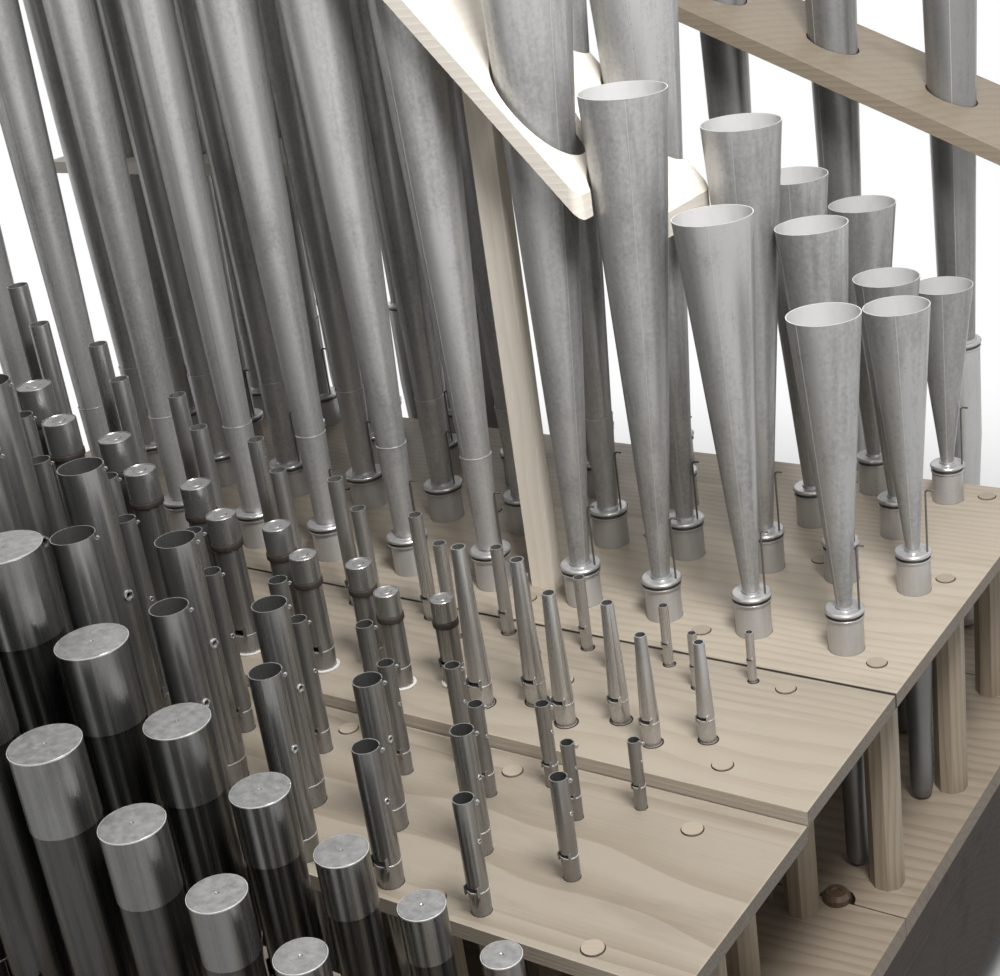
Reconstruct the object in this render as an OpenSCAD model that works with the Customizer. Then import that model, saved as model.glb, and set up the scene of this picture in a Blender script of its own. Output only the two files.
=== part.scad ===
// Treble end of a pipe organ's wind chest, with the pipes that stand on it.
// X runs along the chest with the treble end at +X, Y runs from front to back, Z is up.
// Distances called "along" are measured from the treble end, and "deep" from the edge
// of the front rack board, because the chest is laid out from those two lines.

/* [Wind chest] */
// Length of the chest from the treble end to the bass end
chest_len = 1500; // [1000:10:1900]
// How far the chest stands out in front of the front rack board's edge
chest_front = 300; // [290:5:360]
// How far the chest reaches behind the front rack board's edge
chest_back = 1250; // [1235:5:1400]
// Height of the bearers under the chest
bearer_h = 110; // [60:5:200]
// Width of a bearer
bearer_w = 90; // [60:5:140]
// Height of the wind chest below its table
chest_h = 200; // [140:5:300]
// Height of the table that carries the toe boards
table_h = 46; // [30:1:70]
// How far the table stands out from the chest below it
table_ledge = 6; // [2:1:15]
// Width of the rails round the front panels
rail_w = 45; // [30:5:70]
// Depth of the recess that the front panels sit in
panel_recess = 8; // [4:1:14]
// Number of front panels
panels = 3; // [2:1:5]
// Gap round a panel and between two boards
board_gap = 2; // [0.5:0.1:2.5]

/* [Boards] */
// Thickness of a toe board
toe_t = 26; // [18:1:36]
// Thickness of a rack board
rack_t = 17; // [12:1:24]
// Height of the rack boards' tops above the toe boards' tops
rack_h = 290; // [240:5:340]
// How much lower the front rack board lies than the two behind it
front_drop = 15; // [5:1:30]
// How much lower the front pipes' own rack board lies
low_drop = 125; // [90:5:160]
// Joint between the front and the middle rack board, deep
joint_front = 257; // [252:1:262]
// Joint between the middle and the rear rack board, deep
joint_rear = 483; // [479:1:490]
// Back edge of the rear rack board, deep
rack_back = 1006; // [990:1:1030]
// Clearance round a pipe or a pillar's peg in a rack board
hole_gap = 0.4; // [0.2:0.1:1]

/* [Pillars] */
// Width across the flats of an eight-sided pillar
pillar_w = 36; // [28:1:37]
// Diameter of the peg on top of a pillar
peg_d = 21; // [14:1:26]
// How far a peg stands out of the rack board
peg_proud = 1.5; // [0:0.5:4]
// Diameter of a turned button that holds two toe boards down
button_d = 32; // [24:1:40]
// Height of a button
button_h = 12; // [8:1:20]

/* [Flue pipes] */
// Distance of the first channel's pipes from the treble end
flue_first = 144; // [140:1:160]
// Distance between the first two channels
flue_pitch = 51; // [49:0.5:58]
// Growth of that distance from one channel to the next
flue_growth = 0.9; // [0.6:0.05:1.2]
// Growth of a pipe's length from one channel to the next
tone_ratio = 1.11; // [1.09:0.005:1.125]
// Wall of a metal pipe
pipe_wall = 1; // [0.6:0.1:1.4]
// Radius of a pipe's toe
toe_r = 3.5; // [3:0.1:4.5]
// Height of a mouth's lower edge above the rack board
mouth_up = 26; // [20:1:40]
// Width of a mouth as a share of the pipe's diameter
mouth_share = 0.68; // [0.5:0.01:0.75]
// Thickness of an ear beside a mouth
ear_t = 1; // [0.8:0.1:1.6]
// How far an ear stands out from the pipe
ear_out = 4; // [2:0.5:7]
// Diameter of the pipe from which the ears have that size
full_ear_d = 22; // [15:1:30]
// Diameter of the vent hole in an open pipe's side, as a share of the pipe's
vent_share = 0.15; // [0.1:0.01:0.2]
// Depth of the tuning slot at an open pipe's top
slot_h = 7; // [4:0.5:12]
// Width of a tuning slot
slot_w = 1.6; // [1:0.1:3]

/* [Open pipes] */
// Diameter of the shortest principal pipe
principal_d = 17.5; // [15:0.5:20]
// Growth of a principal pipe's diameter from pipe to pipe
principal_step = 3.1; // [2:0.1:3.2]
// Height of the shortest principal pipe above its board
principal_h = 111; // [90:1:130]
// Extra length of the wider principal pipes, as a ratio
principal_break = 1.115; // [1:0.005:1.13]
// Diameter of the shortest octave pipe
octave_d = 13; // [11:0.5:15]
// Growth of an octave pipe's diameter from pipe to pipe
octave_step = 1.1; // [0.8:0.1:1.2]
// Height of the shortest octave pipe above its board
octave_h = 78; // [65:1:90]
// Diameter of the shortest piccolo pipe
piccolo_d = 9.5; // [8.5:0.5:11]
// Growth of a piccolo pipe's diameter from pipe to pipe
piccolo_step = 1; // [0.7:0.1:1.2]
// Height of the shortest piccolo pipe above its board
piccolo_h = 60; // [52:1:70]
// Diameter of the shortest tapered pipe at its mouth
taper_d = 18.5; // [16:0.5:21]
// Growth of a tapered pipe's diameter from pipe to pipe
taper_step = 1.5; // [1:0.1:1.8]
// Height of the shortest tapered pipe above its board
taper_h = 114; // [100:1:125]
// Top diameter of a tapered pipe as a share of its mouth diameter
taper_top = 0.62; // [0.5:0.01:0.9]
// Number of tapered pipes before the capped flutes go on in their rows
tapered = 6; // [4:1:8]

/* [Capped pipes] */
// Diameter of the shortest flute pipe
flute_d = 25.5; // [22:0.5:28]
// Growth of a flute pipe's diameter from pipe to pipe
flute_step = 1.7; // [1.2:0.1:1.9]
// Height of the shortest flute pipe's cap above its board
flute_h = 108; // [100:1:125]
// Distance of the first stopped pipe from the treble end
stopped_first = 133; // [120:1:150]
// Distance between the first two stopped pipes
stopped_pitch = 39; // [39:0.5:46]
// Growth of that distance from pipe to pipe
stopped_growth = 0.8; // [0.75:0.05:1]
// Diameter of the shortest stopped pipe
stopped_d = 33.4; // [28:0.5:36]
// Growth of a stopped pipe's diameter from pipe to pipe
stopped_step = 3.3; // [2:0.05:3.4]
// Length of the shortest stopped pipe above its mouth
stopped_h = 100; // [85:1:120]
// Depth of a cap as a share of its pipe's diameter
cap_share = 1.25; // [0.8:0.05:1.5]
// Wall of a cap
cap_wall = 0.9; // [0.6:0.1:1.5]
// Clearance between a cap and its pipe
cap_gap = 0.25; // [0.2:0.05:0.5]
// Height of the leather band under a flute's cap
band_h = 6; // [4:1:9]
// Width of the felt ring round a flute's foot
felt_w = 3.5; // [2:0.5:5]
// Thickness of the felt ring
felt_t = 2; // [1:0.5:4]

/* [Reed pipes] */
// Distance of the first trumpet from the treble end
reed_first = 65; // [60:1:70]
// Distance of the second trumpet from the treble end
reed_second = 85; // [80:1:92]
// Distance between the next two trumpets
reed_pitch = 55.5; // [53:0.5:58]
// Growth of that distance from pipe to pipe
reed_growth = 1; // [0.8:0.1:1.2]
// Diameter of a reed pipe's boot
boot_d = 39; // [34:0.5:42]
// Growth of a boot's diameter from pipe to pipe
boot_step = 0.7; // [0:0.05:0.9]
// Height of a boot's top above the rack board
boot_up = 40; // [30:1:50]
// Diameter of the rings on a reed block
block_d = 43; // [43:0.5:46]
// Growth of a block's diameter from pipe to pipe
block_step = 1.05; // [0.9:0.05:1.1]
// Height of a reed block above its boot
block_h = 14; // [10:1:20]
// Diameter of a resonator at its foot
neck_d = 16; // [15:0.5:20]
// Growth of a resonator's foot from pipe to pipe
neck_step = 1.1; // [0:0.05:1.2]
// Wall of a resonator
resonator_wall = 1.2; // [0.8:0.1:1.6]
// Length of the shortest trumpet resonator
trumpet_l = 292; // [260:1:310]
// Growth of a trumpet resonator's length from pipe to pipe
trumpet_ratio = 1.14; // [1.12:0.005:1.15]
// Mouth diameter of the shortest trumpet resonator
trumpet_d = 72.5; // [66:0.5:76]
// Length of the shortest clarion resonator
clarion_l = 234; // [210:1:250]
// Growth of a clarion resonator's length from pipe to pipe
clarion_ratio = 1.195; // [1.15:0.005:1.2]
// Distance of the first long clarion from the treble end
clarion_first = 438; // [430:1:450]
// Distance between two long clarions
clarion_pitch = 66; // [64:0.5:72]
// Length of the first long clarion's resonator
clarion_long = 950; // [850:10:1100]
// Mouth diameter of the shortest clarion resonator
clarion_d = 73.5; // [66:0.5:76]
// Growth of a mouth's diameter from pipe to pipe
bell_step = 4.3; // [3:0.1:4.4]
// Widest mouth of a trumpet or clarion
bell_max = 130; // [110:1:132]
// Longest resonator of a trumpet or clarion
resonator_max = 2300; // [1900:10:2400]
// Height of the socket that a long resonator stands in
socket_h = 125; // [90:5:160]
// Diameter of a tuning wire
wire_d = 2.4; // [1.6:0.1:2.6]
// Height of a tuning wire above its block
wire_up = 78; // [60:1:80]
// Radius of the hook on a tuning wire
hook_r = 4; // [3:0.5:6]
// Length of the hook's straight end
hook_l = 5; // [3:0.5:8]

/* [Bass reeds] */
// Distance of the first bass reed from the treble end
bass_first = 160; // [140:1:180]
// Distance between two bass reeds
bass_pitch = 158; // [150:1:180]
// Diameter of a bass reed's boot
bass_boot_d = 58; // [50:1:64]
// Height of a bass reed's boot above the toe board
bass_boot_h = 430; // [380:5:480]
// Diameter of a bass resonator at its foot
bass_neck_d = 46; // [40:1:50]
// Mouth diameter of a bass resonator
bass_bell_d = 132; // [110:1:140]
// Length of the first bass resonator
bass_l = 1900; // [1600:10:2000]
// How much longer each bass resonator is than the one before
bass_l_step = 40; // [0:5:60]

/* [Resonator racks] */
// Thickness of a resonator rack
bar_t = 18; // [12:1:22]
// Slope of the trumpet rack in degrees
front_slope = 47.7; // [44:0.1:48]
// Where the trumpet rack's lower end lies, along
front_bar_s = 285; // [280:1:290]
// Height of that end's underside above the rack board
front_bar_z = 447; // [440:1:460]
// How much the trumpet rack's front corner is cut back
front_bar_cut = 42; // [30:1:45]
// Radius of the rounded corners at the trumpet rack's lower end
bar_round = 11; // [6:1:16]
// Height of the clarion rack's underside above the rack board
clarion_bar_z = 456; // [400:1:480]
// Slope of the bass reeds' rack in degrees
bass_slope = 24; // [15:0.1:28]
// Height of the bass rack's end above the rack board at the treble end
bass_bar_z = 390; // [380:1:420]
// Clearance round a tube in a rack
bar_gap = 2; // [1:0.5:4]
// Width of a rack's post along the chest
post_w = 34; // [24:1:40]
// Thickness of a rack's post
post_t = 20; // [14:1:26]

/* [Hidden] */
$fn = 64;

tin = "silver";
pale_wood = "burlywood";
dark_wood = "saddlebrown";

// Heights of the flat tops, from the floor up
table_z = bearer_h + chest_h;
toe_z = table_z + table_h + toe_t;
rack_z = toe_z + rack_h;
front_z = rack_z - front_drop;
low_z = rack_z - low_drop;

// Rows, deep
stopped_rows = [-61, -171];
principal_rows = [100, 24];
octave_rows = [222, 183];
flute_rows = [335, 309];
piccolo_rows = [456, 423];
trumpet_rows = [709, 556];
clarion_rows = [956, 841];
bass_row = 1140;
end_margin = bell_max / 2 + 5;
trumpet_bar = [495, trumpet_rows[0]];
clarion_bar = [790, 1000];
bass_bar = [1030, chest_back];

// Channel positions, along. The trumpets stand a little off their even spacing
last_along = chest_len - end_margin;
function spread(first, pitch, growth, k) = first + pitch * k + growth * k * (k - 1) / 2;
function fitting(first, pitch, growth, k = 0) =
    spread(first, pitch, growth, k) > last_along ? k : fitting(first, pitch, growth, k + 1);
function flue_s(k) = spread(flue_first, flue_pitch, flue_growth, k);
function stopped_s(k) = spread(stopped_first, stopped_pitch, stopped_growth, k);
reed_shift = [0, 0, 13.5, 0, -3, 0, -11, -9, -21, 0, -13, 3, -11, 5, -6];
function even_s(k) = k == 0 ? reed_first : spread(reed_second, reed_pitch, reed_growth, k - 1);
function reed_s(k) = even_s(k) + (k < len(reed_shift) ? reed_shift[k] : 0);
flues = fitting(flue_first, flue_pitch, flue_growth);
stoppeds = fitting(stopped_first, stopped_pitch, stopped_growth);
reeds = 1 + fitting(reed_second, reed_pitch, reed_growth);
basses = fitting(bass_first, bass_pitch, 0);

// The shortest resonator that stands in a socket, and the socket's wall
socketed_l = 820;
socket_t = 1;
function socket(len) = len > socketed_l ? socket_h : 0;

// Rank sizes
piccolo_shift = 7;
octave_shift = 17;
principal_shift = 23;
function stopped_dia(k) = stopped_d + stopped_step * k;
function stopped_len(k) = stopped_h * pow(1.1225, k);
function principal_dia(k) = principal_d + principal_step * k;
function octave_dia(k) = octave_d + octave_step * k;
function piccolo_dia(k) = piccolo_d + piccolo_step * k;
function taper_dia(k) = taper_d + taper_step * k;
function flute_dia(k) = flute_d + flute_step * (k - tapered);
function boot_dia(k) = boot_d + boot_step * k;
function block_dia(k) = block_d + block_step * k;
function neck_dia(k) = neck_d + neck_step * k;
function bell_dia(first, k) = min(first + bell_step * k, bell_max);
function reed_len(first, ratio, k) = min(first * pow(ratio, k), resonator_max);

// The short clarions stand at places of their own, and the long ones follow after a gap
short_s = [112, 137, 211, 249];
shorts = len(short_s);
clarions = shorts + fitting(clarion_first, clarion_pitch, 0);
function clarion_s(k) = k < shorts ? short_s[k] : clarion_first + clarion_pitch * (k - shorts);
function clarion_y(k) = clarion_rows[k < shorts ? k % 2 : 1 - k % 2];

// Radius of a foot that widens from its toe to r at height h, at height z
function foot_r(r, h, z) = toe_r + (r - toe_r) * z / h;

// Places a child at a distance along the chest, a depth and a height
module at(s, deep, z) {
    translate([chest_len / 2 - s, deep - (chest_back - chest_front) / 2, z]) children();
}

// A board that fills the length of the chest between two depths, with its top at z
module plank(from, to, top, thick, inset = 0) {
    at(chest_len - inset, from, top - thick) cube([chest_len - 2 * inset, to - from, thick]);
}

// A flue pipe standing on its toe: a foot, a languid and a body with a mouth and ears
module flue(d, top_d, foot_h, body_h) {
    mouth_w = mouth_share * d;
    cut_up = 0.25 * d;
    ear_x = mouth_w / 2;
    chord = sqrt(d * d / 4 - ear_x * ear_x);
    out = ear_out * min(1, d / full_ear_d);
    difference() {
        union() {
            rotate_extrude() polygon([[0, 0], [toe_r, 0], [d / 2, foot_h],
                [top_d / 2, foot_h + body_h], [top_d / 2 - pipe_wall, foot_h + body_h],
                [d / 2 - pipe_wall, foot_h], [0, foot_h]]);
            for (side = [-1, 1])
                translate([side * ear_x - ear_t / 2, -chord - out, foot_h - cut_up / 2])
                    cube([ear_t, out + ear_t, 2 * cut_up]);
        }
        translate([-ear_x + ear_t / 2, -d, foot_h])
            cube([2 * ear_x - ear_t, d, cut_up]);
        children();
    }
}

// An open pipe's tuning slot and the vent hole in its side, to be cut from it
module vent_and_slot(d, foot_h, body_h) {
    translate([0, 0, foot_h + 0.55 * body_h]) rotate([0, 90, 0])
        cylinder(d = vent_share * d, h = d, $fn = 24);
    rotate([0, 0, -60]) translate([-slot_w / 2, 0, foot_h + body_h - slot_h])
        cube([slot_w, d, slot_h + 1]);
}

// A cap with its open end down, from the rim at z = 0, with a knob in a dished top where asked
module cap(d, h, knob = 0) {
    inner = d / 2 + cap_gap;
    outer = inner + cap_wall;
    dish = knob > 0 ? 1 : 0;
    middle = knob > 0 ? [[knob + 1, h - dish], [knob, h - 0.2], [knob / 2, h], [0, h]]
        : [[2, h], [1.2, h - 0.5], [0, h - 0.5]];
    rotate_extrude() polygon(concat([[inner, 0], [outer, 0], [outer, h - 0.8], [outer - 0.8, h],
        [outer - 1.6, h], [outer - 2.2, h - dish]], middle, [[0, h - 2.5], [inner, h - 2.5]]));
}

// A boot: a tube that draws in to a rounded toe
module boot(d, h) {
    r = d / 2;
    rotate_extrude() polygon([[0, 0], [toe_r + 1, 0], [r * 0.48, 3], [r * 0.62, 8],
        [r * 0.7, 16], [r * 0.72, h * 0.3], [r, h * 0.7], [r, h], [0, h]]);
}

// A block: a ring on the boot, a groove and a flange, with a collar round the resonator
module block(d, neck) {
    r = d / 2;
    collar = neck / 2 + 2;
    rotate_extrude() polygon([[0, 0], [r - 1.6, 0], [r - 0.8, 0.6], [r - 0.8, 2.4], [r - 1.6, 3],
        [r - 3.4, 3.2], [r - 3.4, 6.4], [r - 0.8, 6.7], [r, 7.4], [r, 9.2], [r - 1, 10.6],
        [r - 2.2, flange_h], [collar, flange_h], [collar - 1, block_h], [0, block_h]]);
}

// A cone open at both ends, with a socket round its lower end where it is long
module resonator(neck, bell, h, socket) {
    grow = (bell - neck) / 2 / h;
    sock_r = neck / 2 + grow * socket + socket_t;
    lower = socket > 0 ? [[neck / 2 + socket_t, 0], [sock_r, socket - socket_t],
        [sock_r - socket_t, socket]]
        : [[neck / 2, 0]];
    rotate_extrude() polygon(concat([[neck / 2 - resonator_wall, 0]], lower,
        [[bell / 2, h], [bell / 2 - resonator_wall, h]]));
}

// A tuning wire: a rod bent over at the top, away from its resonator, just clear of it
wire_gap = 0.4;
module tuning_wire() {
    straight = wire_up - hook_r;
    cylinder(d = wire_d, h = straight, $fn = 16);
    translate([hook_r, 0, straight]) rotate([90, 0, 180])
        rotate_extrude(angle = 90, $fn = 48) translate([hook_r, 0]) circle(d = wire_d, $fn = 16);
    translate([hook_r, 0, straight + hook_r]) rotate([0, 90, 0])
        cylinder(d = wire_d, h = hook_l, $fn = 16);
}

// How far a wire stands from its resonator's middle, to clear the cone at its top
function wire_out(neck, bell, len) = wire_d / 2 + wire_gap
    + (neck + (bell - neck) * (wire_up + wire_d) / len) / 2
    + (socket(len) > 0 ? socket_t : 0);

module floor_bearers() {
    color(dark_wood)
        for (j = [0:3])
            at(chest_len * (j + 0.5) / 4 + bearer_w / 2, table_ledge - chest_front, 0)
                cube([bearer_w, chest_front + chest_back - 2 * table_ledge, bearer_h]);
}

panel_w = (chest_len - 2 * table_ledge - rail_w * (panels + 1)) / panels;
module panel_opening(j, inset, depth) {
    at(table_ledge + (rail_w + panel_w) * (j + 1) - inset, table_ledge - chest_front + depth,
        bearer_h + rail_w + inset)
        cube([panel_w - 2 * inset, panel_recess, chest_h - 2 * rail_w - 2 * inset]);
}

module wind_chest() {
    color(dark_wood) difference() {
        plank(table_ledge - chest_front, chest_back - table_ledge, table_z, chest_h, table_ledge);
        for (j = [0:panels - 1]) panel_opening(j, 0, -0.01);
    }
}

module front_panels() {
    color(dark_wood) for (j = [0:panels - 1]) intersection() {
        panel_opening(j, board_gap, 0);
        panel_opening(j, board_gap, panel_recess / 2);
    }
}

module chest_table() {
    color(dark_wood) plank(-chest_front, chest_back, table_z + table_h, table_h);
}

// The wind hole under every pipe of a rank
module wind_hole(s, deep) {
    at(s, deep, toe_z - toe_t - 1) cylinder(r = toe_r - 1, h = toe_t + 2);
}

module toe_board_front() {
    color(pale_wood) difference() {
        plank(-chest_front, -board_gap, toe_z, toe_t);
        for (k = [0:stoppeds - 1]) wind_hole(stopped_s(k), stopped_rows[k % 2]);
    }
}

module toe_board_middle() {
    color(pale_wood) difference() {
        plank(0, joint_rear - board_gap, toe_z, toe_t);
        for (k = [0:flues - 1]) {
            wind_hole(flue_s(k) + principal_shift, principal_rows[k % 2]);
            wind_hole(flue_s(k) + octave_shift, octave_rows[k % 2]);
            wind_hole(flue_s(k), flute_rows[k % 2]);
            wind_hole(flue_s(k) + piccolo_shift, piccolo_rows[k % 2]);
        }
    }
}

module toe_board_rear() {
    color(pale_wood) difference() {
        plank(joint_rear, rack_back, toe_z, toe_t);
        for (k = [0:reeds - 1]) wind_hole(reed_s(k), trumpet_rows[k % 2]);
        for (k = [0:clarions - 1]) wind_hole(clarion_s(k), clarion_y(k));
        for (s = button_places) at(s, joint_rear, toe_z - toe_t - 1)
            cylinder(d = button_d + 2 * button_room, h = toe_t + 2);
    }
}

module toe_board_back() {
    color(pale_wood) difference() {
        plank(rack_back + board_gap, chest_back, toe_z, toe_t);
        for (k = [0:basses - 1]) wind_hole(bass_first + bass_pitch * k, bass_row);
    }
}

// The buttons hold the middle toe board's edge, each in a round recess of the rear one
module toe_board_buttons() {
    r = button_d / 2;
    color(dark_wood) for (s = button_places) at(s, joint_rear, toe_z)
        rotate_extrude() polygon([[0, 0], [r, 0], [r, button_h - 5], [r - 4, button_h],
            [6, button_h], [5, button_h - 2], [0, button_h - 2]]);
}

// Pillars, as [along, deep, top of the board that they carry]
bay = 236;
bays = floor((last_along - 110) / bay);
button_places = [for (s = [82:bay:last_along]) s];
button_room = 5;
pillar_rows = concat(
    [for (s = [42, for (k = [4:4:reeds - 2]) even_s(k)]) [s, 536, rack_z]],
    [for (s = [40, for (k = [3:4:reeds - 2]) even_s(k)]) [s, 744, rack_z]],
    [for (s = [68, for (k = [shorts:4:clarions - 2]) clarion_s(k)]) [s, 976, rack_z]],
    [[111, 453, rack_z], [109, 298, rack_z]],
    [for (j = [1:bays]) [111 + bay * j, 382, rack_z]],
    [[98, 209, front_z], [98, 21, front_z]],
    [for (k = [2:4:flues - 2]) [flue_s(k) + principal_shift, 21, front_z]],
    [for (k = [3:4:flues - 2]) [flue_s(k) + octave_shift, 226, front_z]]);

module pillar(p) {
    under = p[2] - rack_t;
    at(p[0], p[1], toe_z) rotate([0, 0, 22.5])
        cylinder(d = pillar_w / cos(22.5), h = under - toe_z, $fn = 8);
    at(p[0], p[1], under) cylinder(d = peg_d, h = rack_t + peg_proud);
}

module rack_pillars() {
    color(pale_wood) for (p = pillar_rows) pillar(p);
}

pillar_in = 40;
low_pillars = [for (j = [0:bays]) [98 + bay * j, pillar_in - chest_front, low_z]];
module low_rack_pillars() {
    color(pale_wood) for (p = low_pillars) pillar(p);
}

ledger_h = 24;
module low_rack_ledger() {
    color(pale_wood) plank(-22, 21 - pillar_w / 2, low_z - rack_t, ledger_h);
}

module peg_holes(pillars, from, to) {
    for (p = pillars) if (p[1] > from && p[1] < to)
        at(p[0], p[1], p[2] - rack_t - 1) cylinder(d = peg_d + 2 * hole_gap, h = rack_t + 2);
}

module pipe_hole(s, deep, top, r) {
    at(s, deep, top - rack_t - 1) cylinder(r = r + hole_gap, h = rack_t + 2);
}

module rack_board_low() {
    color(pale_wood) difference() {
        plank(-chest_front, -6, low_z, rack_t);
        peg_holes(low_pillars, -chest_front, 0);
        for (k = [0:stoppeds - 1])
            pipe_hole(stopped_s(k), stopped_rows[k % 2], low_z,
                foot_r(stopped_dia(k) / 2, stopped_foot, rack_h - low_drop));
    }
}

module rack_board_front() {
    color(pale_wood) difference() {
        plank(0, joint_front - board_gap, front_z, rack_t);
        peg_holes(pillar_rows, 0, joint_front);
        for (k = [0:flues - 1]) {
            pipe_hole(flue_s(k) + principal_shift, principal_rows[k % 2], front_z,
                foot_r(principal_dia(k) / 2, front_foot, front_foot - mouth_up));
            pipe_hole(flue_s(k) + octave_shift, octave_rows[k % 2], front_z,
                foot_r(octave_dia(k) / 2, front_foot, front_foot - mouth_up));
        }
    }
}

module rack_board_middle() {
    color(pale_wood) difference() {
        plank(joint_front, joint_rear - board_gap, rack_z, rack_t);
        peg_holes(pillar_rows, joint_front, joint_rear);
        for (k = [0:flues - 1]) {
            pipe_hole(flue_s(k), flute_rows[k % 2], rack_z,
                foot_r((k < tapered ? taper_dia(k) : flute_dia(k)) / 2, rear_foot, rack_h));
            pipe_hole(flue_s(k) + piccolo_shift, piccolo_rows[k % 2], rack_z,
                foot_r(piccolo_dia(k) / 2, rear_foot, rack_h));
        }
    }
}

module rack_board_rear() {
    color(pale_wood) difference() {
        plank(joint_rear, rack_back, rack_z, rack_t);
        peg_holes(pillar_rows, joint_rear, rack_back);
        for (k = [0:reeds - 1])
            pipe_hole(reed_s(k), trumpet_rows[k % 2], rack_z, boot_dia(k) / 2);
        for (k = [0:clarions - 1])
            pipe_hole(clarion_s(k), clarion_y(k), rack_z, boot_dia(k) / 2);
    }
}

// Foot heights from the toe board to the languid
front_foot = rack_h - front_drop + mouth_up;
rear_foot = rack_h + mouth_up;
stopped_foot = rack_h - 71;

module stopped_pipes() {
    color(tin) for (k = [0:stoppeds - 1]) {
        d = stopped_dia(k);
        at(stopped_s(k), stopped_rows[k % 2], toe_z)
            flue(d, d, stopped_foot, stopped_len(k) - cap_share * d / 4);
    }
}

module stopped_caps() {
    color(tin) for (k = [0:stoppeds - 1]) {
        d = stopped_dia(k);
        h = cap_share * d;
        at(stopped_s(k), stopped_rows[k % 2], toe_z + stopped_foot + stopped_len(k) - h)
            cap(d, h);
    }
}

// The principal pipes grow faster from this pipe on
broken = 5;
module principal_pipes() {
    color(tin) for (k = [0:flues - 1]) {
        d = principal_dia(k);
        body = principal_h * pow(tone_ratio, k) * (k < broken ? 1 : principal_break) - mouth_up;
        at(flue_s(k) + principal_shift, principal_rows[k % 2], toe_z)
            flue(d, d, front_foot, body) vent_and_slot(d, front_foot, body);
    }
}

module octave_pipes() {
    color(tin) for (k = [0:flues - 1]) {
        d = octave_dia(k);
        body = octave_h * pow(tone_ratio, k) - mouth_up;
        at(flue_s(k) + octave_shift, octave_rows[k % 2], toe_z)
            flue(d, d, front_foot, body) vent_and_slot(d, front_foot, body);
    }
}

module tapered_pipes() {
    color(tin) for (k = [0:tapered - 1]) {
        d = taper_dia(k);
        at(flue_s(k), flute_rows[k % 2], toe_z)
            flue(d, d * taper_top, rear_foot, taper_h * pow(tone_ratio, k) - mouth_up);
    }
}

function flute_top(k) = flute_h * pow(tone_ratio, k - tapered);
module flute_pipes() {
    color(tin) for (k = [tapered:flues - 1]) {
        d = flute_dia(k);
        at(flue_s(k), flute_rows[k % 2], toe_z)
            flue(d, d, rear_foot, flute_top(k) - mouth_up - d / 4);
    }
}

module flute_caps() {
    color(tin) for (k = [tapered:flues - 1]) {
        d = flute_dia(k);
        at(flue_s(k), flute_rows[k % 2], rack_z + flute_top(k) - d) cap(d, d, d / 5);
    }
}

module ring(inner, outer, h) {
    difference() {
        cylinder(r = outer, h = h);
        translate([0, 0, -1]) cylinder(r = inner, h = h + 2);
    }
}

module flute_bands() {
    color("dimgray") for (k = [tapered:flues - 1]) {
        r = flute_dia(k) / 2 + cap_gap;
        at(flue_s(k), flute_rows[k % 2], rack_z + flute_top(k) - 2 * r - band_h)
            ring(r, r + cap_wall, band_h);
    }
}

module flute_felts() {
    color("white") for (k = [tapered:flues - 1]) {
        r = foot_r(flute_dia(k) / 2, rear_foot, rack_h + felt_t) + cap_gap;
        at(flue_s(k), flute_rows[k % 2], rack_z) ring(r, r + felt_w, felt_t);
    }
}

module piccolo_pipes() {
    color(tin) for (k = [0:flues - 1]) {
        d = piccolo_dia(k);
        at(flue_s(k) + piccolo_shift, piccolo_rows[k % 2], toe_z)
            flue(d, d, rear_foot, piccolo_h * pow(tone_ratio, k) - mouth_up);
    }
}

flange_h = 11.2;
boot_h = rack_h + boot_up;
block_z = toe_z + boot_h;
neck_z = block_z + block_h;
module trumpet_boots() {
    color(tin) for (k = [0:reeds - 1])
        at(reed_s(k), trumpet_rows[k % 2], toe_z) boot(boot_dia(k), boot_h);
}

module trumpet_blocks() {
    color(tin) for (k = [0:reeds - 1])
        at(reed_s(k), trumpet_rows[k % 2], block_z) block(block_dia(k), neck_dia(k));
}

// The treble trumpets don't stand quite upright: degrees that they lean to the bass
trumpet_lean = [1.6, 0.8, 2, 1.2, -1, -1.6, 0, -2];
function lean(k) = k < len(trumpet_lean) ? trumpet_lean[k] : 0;
function trumpet_len(k) = reed_len(trumpet_l, trumpet_ratio, k);
function clarion_len(k) = k < shorts ? reed_len(clarion_l, clarion_ratio, k)
    : reed_len(clarion_long, trumpet_ratio, k - shorts);
module trumpet_resonators() {
    color(tin) for (k = [0:reeds - 1])
        at(reed_s(k), trumpet_rows[k % 2], neck_z + abs(sin(lean(k))) * neck_dia(k) / 2)
            rotate([0, -lean(k), 0])
                resonator(neck_dia(k), bell_dia(trumpet_d, k), trumpet_len(k),
                    socket(trumpet_len(k)));
}

module trumpet_tuning_wires() {
    color(tin) for (k = [0:reeds - 1]) {
        out = wire_out(neck_dia(k), bell_dia(trumpet_d, k), trumpet_len(k));
        towards = max(0, sin(-lean(k))) * wire_up;
        at(reed_s(k) - out - towards, trumpet_rows[k % 2], block_z + flange_h) tuning_wire();
    }
}

module clarion_boots() {
    color(tin) for (k = [0:clarions - 1])
        at(clarion_s(k), clarion_y(k), toe_z) boot(boot_dia(k), boot_h);
}

module clarion_blocks() {
    color(tin) for (k = [0:clarions - 1])
        at(clarion_s(k), clarion_y(k), block_z) block(block_dia(k), neck_dia(k));
}

module clarion_resonators() {
    color(tin) for (k = [0:clarions - 1])
        at(clarion_s(k), clarion_y(k), neck_z)
            resonator(neck_dia(k), bell_dia(clarion_d, k), clarion_len(k),
                socket(clarion_len(k)));
}

module clarion_tuning_wires() {
    color(tin) for (k = [0:clarions - 1]) {
        out = wire_out(neck_dia(k), bell_dia(clarion_d, k), clarion_len(k));
        at(clarion_s(k) - out, clarion_y(k), block_z + flange_h) tuning_wire();
    }
}

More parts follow.
